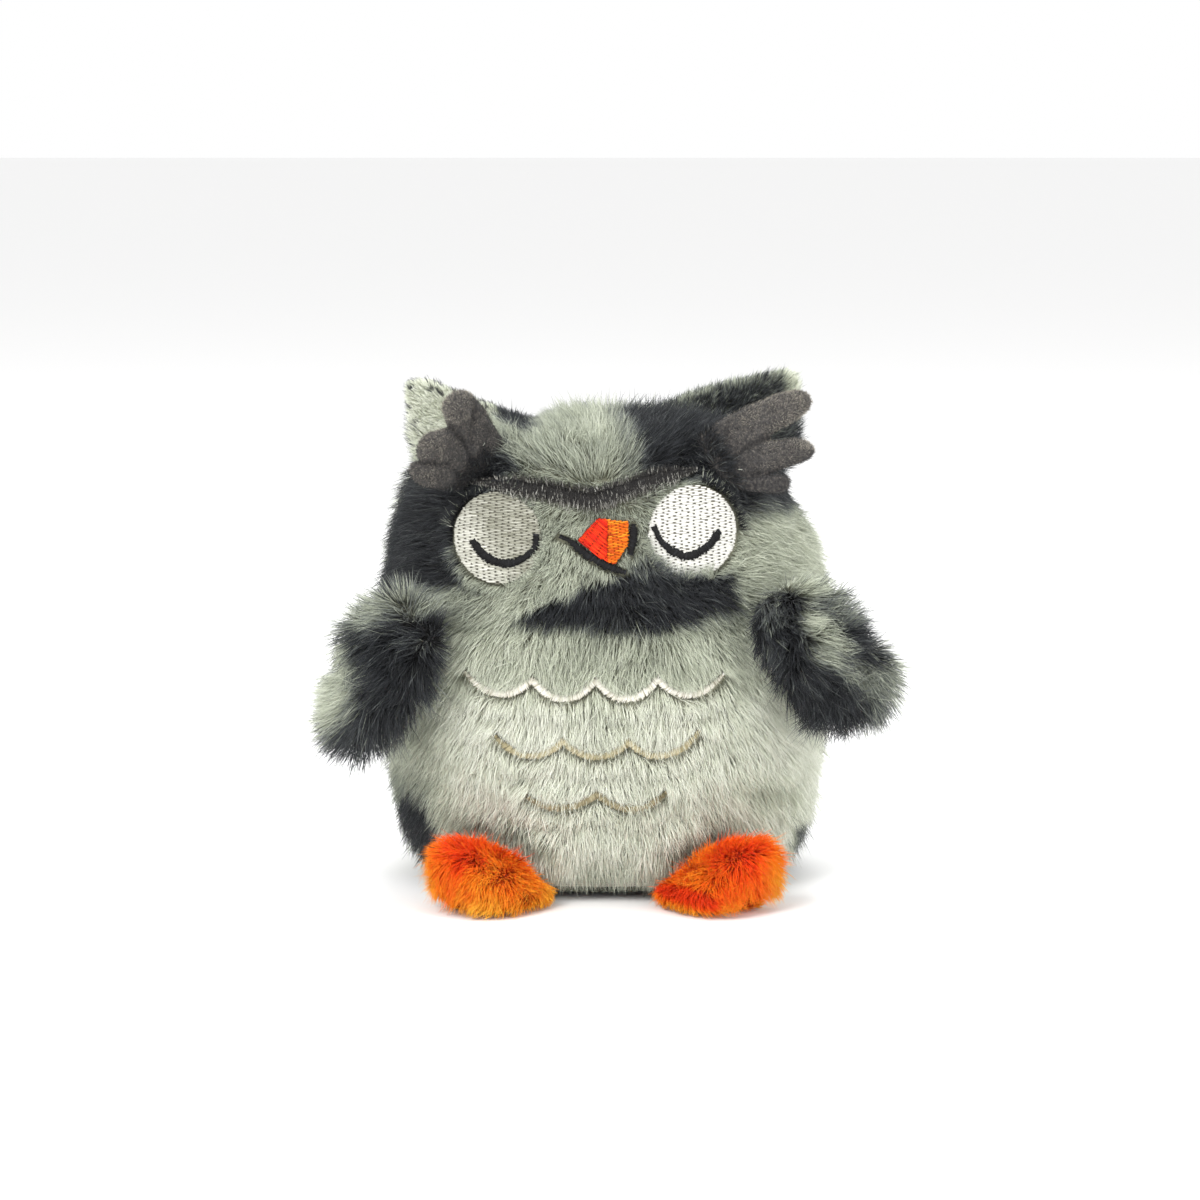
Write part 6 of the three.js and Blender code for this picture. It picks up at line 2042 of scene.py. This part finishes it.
    # pile of the forehead that lies over the root of the felt
    roots, normals = scatter(*forehead, 16.0, seed + 30)
    rel = roots - low
    seam_u, seam_o = rel @ along, rel @ out
    back_set = (rel - seam_u[:, None] * along) @ unit(np.cross(along, inward)) * spec["sign"]
    near = (seam_u > -8) & (seam_u < 17) & (np.abs(back_set) < 4.0)
    roots, normals = roots[near], normals[near]
    r = np.random.default_rng(seed + 31)
    n = len(roots)
    flat_out = np.cross(along, unit(-inward - (-inward @ along) * along)) * spec["sign"]
    flow = np.broadcast_to(flat_out + np.array([0, 0, -0.1]), roots.shape)
    flow = unit(flow - (flow * normals).sum(1, keepdims=True) * normals)
    size = 8.0 * (0.7 + 0.5 * r.random(n)) * (1 + 0.2 * noise(roots, 4, 37))
    pts = grow(roots, normals, flow, size, (22, 62), seed + 32, clump=0.45, spacing=1.4, curl=0.6, wisp=0.15)
    seen = pts[:, 0] * 0.35 + pts[:, 3] * 0.65
    shade = pile_shade(seen, normals) + 0.06 * r.normal(size=n)
    plant(f"{side}_tuft_root_pile", pts, 0.09 * (0.8 + 0.4 * r.random(n)), np.minimum(shade, 0.34), body_pile, hold_head, pts[:, 0, 2])

# ---- filling inside -------------------------------------------------------

for part, hold in (("body", hold_torso), ("head", hold_head)):
    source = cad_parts[f"{part}_stuffing"]
    filling = bpy.data.objects.new(f"{part}_filling", source.data.copy())
    bpy.context.scene.collection.objects.link(filling)
    bm = bmesh.new()
    bm.from_mesh(filling.data)
    bmesh.ops.remove_doubles(bm, verts=bm.verts, dist=1e-6)
    bmesh.ops.subdivide_edges(bm, edges=bm.edges, cuts=1, use_grid_fill=True)
    for v in bm.verts:
        p = np.array(v.co) / MM
        shift = 1.0 - 0.012 * (1 + float(noise(p[None], 7, 51)[0]))
        v.co.x *= shift
        v.co.y *= shift
        v.co.x -= (TEMPLE + 0.6) * MM * math.exp(-(((p[2] - 101) / 12.0) ** 2)) * float(smooth((p[0] - 28) / 10))
    bm.to_mesh(filling.data)
    bm.free()
    filling.data.materials.clear()
    filling.data.materials.append(fibre_fill)
    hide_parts(f"{part}_stuffing")
    hold(filling)

for name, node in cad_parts.items():
    if name == "pellet_pouch":
        node.data.materials.clear()
        node.data.materials.append(pouch_cloth)

# ---- surroundings ---------------------------------------------------------

bpy.ops.mesh.primitive_plane_add(size=24.0, location=(0, 0, 0))
floor = bpy.context.object
floor.name = "floor"
floor_material, nodes, links, shader = new_material("floor")
shader.inputs["Base Color"].default_value = (0.96, 0.96, 0.958, 1)
shader.inputs["Roughness"].default_value = 0.9
floor.data.materials.append(floor_material)
floor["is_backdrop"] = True

world = bpy.data.worlds.new("studio")
bpy.context.scene.world = world
world.use_nodes = True
world_nodes, world_links = world.node_tree.nodes, world.node_tree.links
sky = world_nodes["Background"]
sky.inputs["Color"].default_value = (1.0, 1.0, 1.0, 1)
sky.inputs["Strength"].default_value = 0.95
wall = world_nodes.new("ShaderNodeBackground")
wall.inputs["Color"].default_value = (1.0, 1.0, 1.0, 1)
wall.inputs["Strength"].default_value = 1.0
seen_by_camera = world_nodes.new("ShaderNodeLightPath")
either = world_nodes.new("ShaderNodeMixShader")
world_links.new(seen_by_camera.outputs["Is Camera Ray"], either.inputs["Fac"])
world_links.new(sky.outputs["Background"], either.inputs[1])
world_links.new(wall.outputs["Background"], either.inputs[2])
world_links.new(either.outputs["Shader"], world_nodes["World Output"].inputs["Surface"])


def soft_light(name, location, size, power, color=(1, 1, 1)):
    data = bpy.data.lights.new(name, "AREA")
    data.shape = "SQUARE"
    data.size = size
    data.energy = power
    data.color = color
    light = bpy.data.objects.new(name, data)
    bpy.context.scene.collection.objects.link(light)
    light.location = location
    light.rotation_mode = "QUATERNION"
    light.rotation_quaternion = (Vector((0, 0, 0.07)) - Vector(location)).to_track_quat("-Z", "Y")


soft_light("key", (-0.55, -0.85, 0.85), 0.6, 11.5)
soft_light("fill", (0.9, -0.7, 0.45), 0.8, 5.5)
soft_light("top", (0.1, 0.25, 1.1), 0.7, 6.0)

bpy.context.scene.view_settings.view_transform = "Standard"
bpy.context.scene.view_settings.look = "None"

low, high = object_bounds()
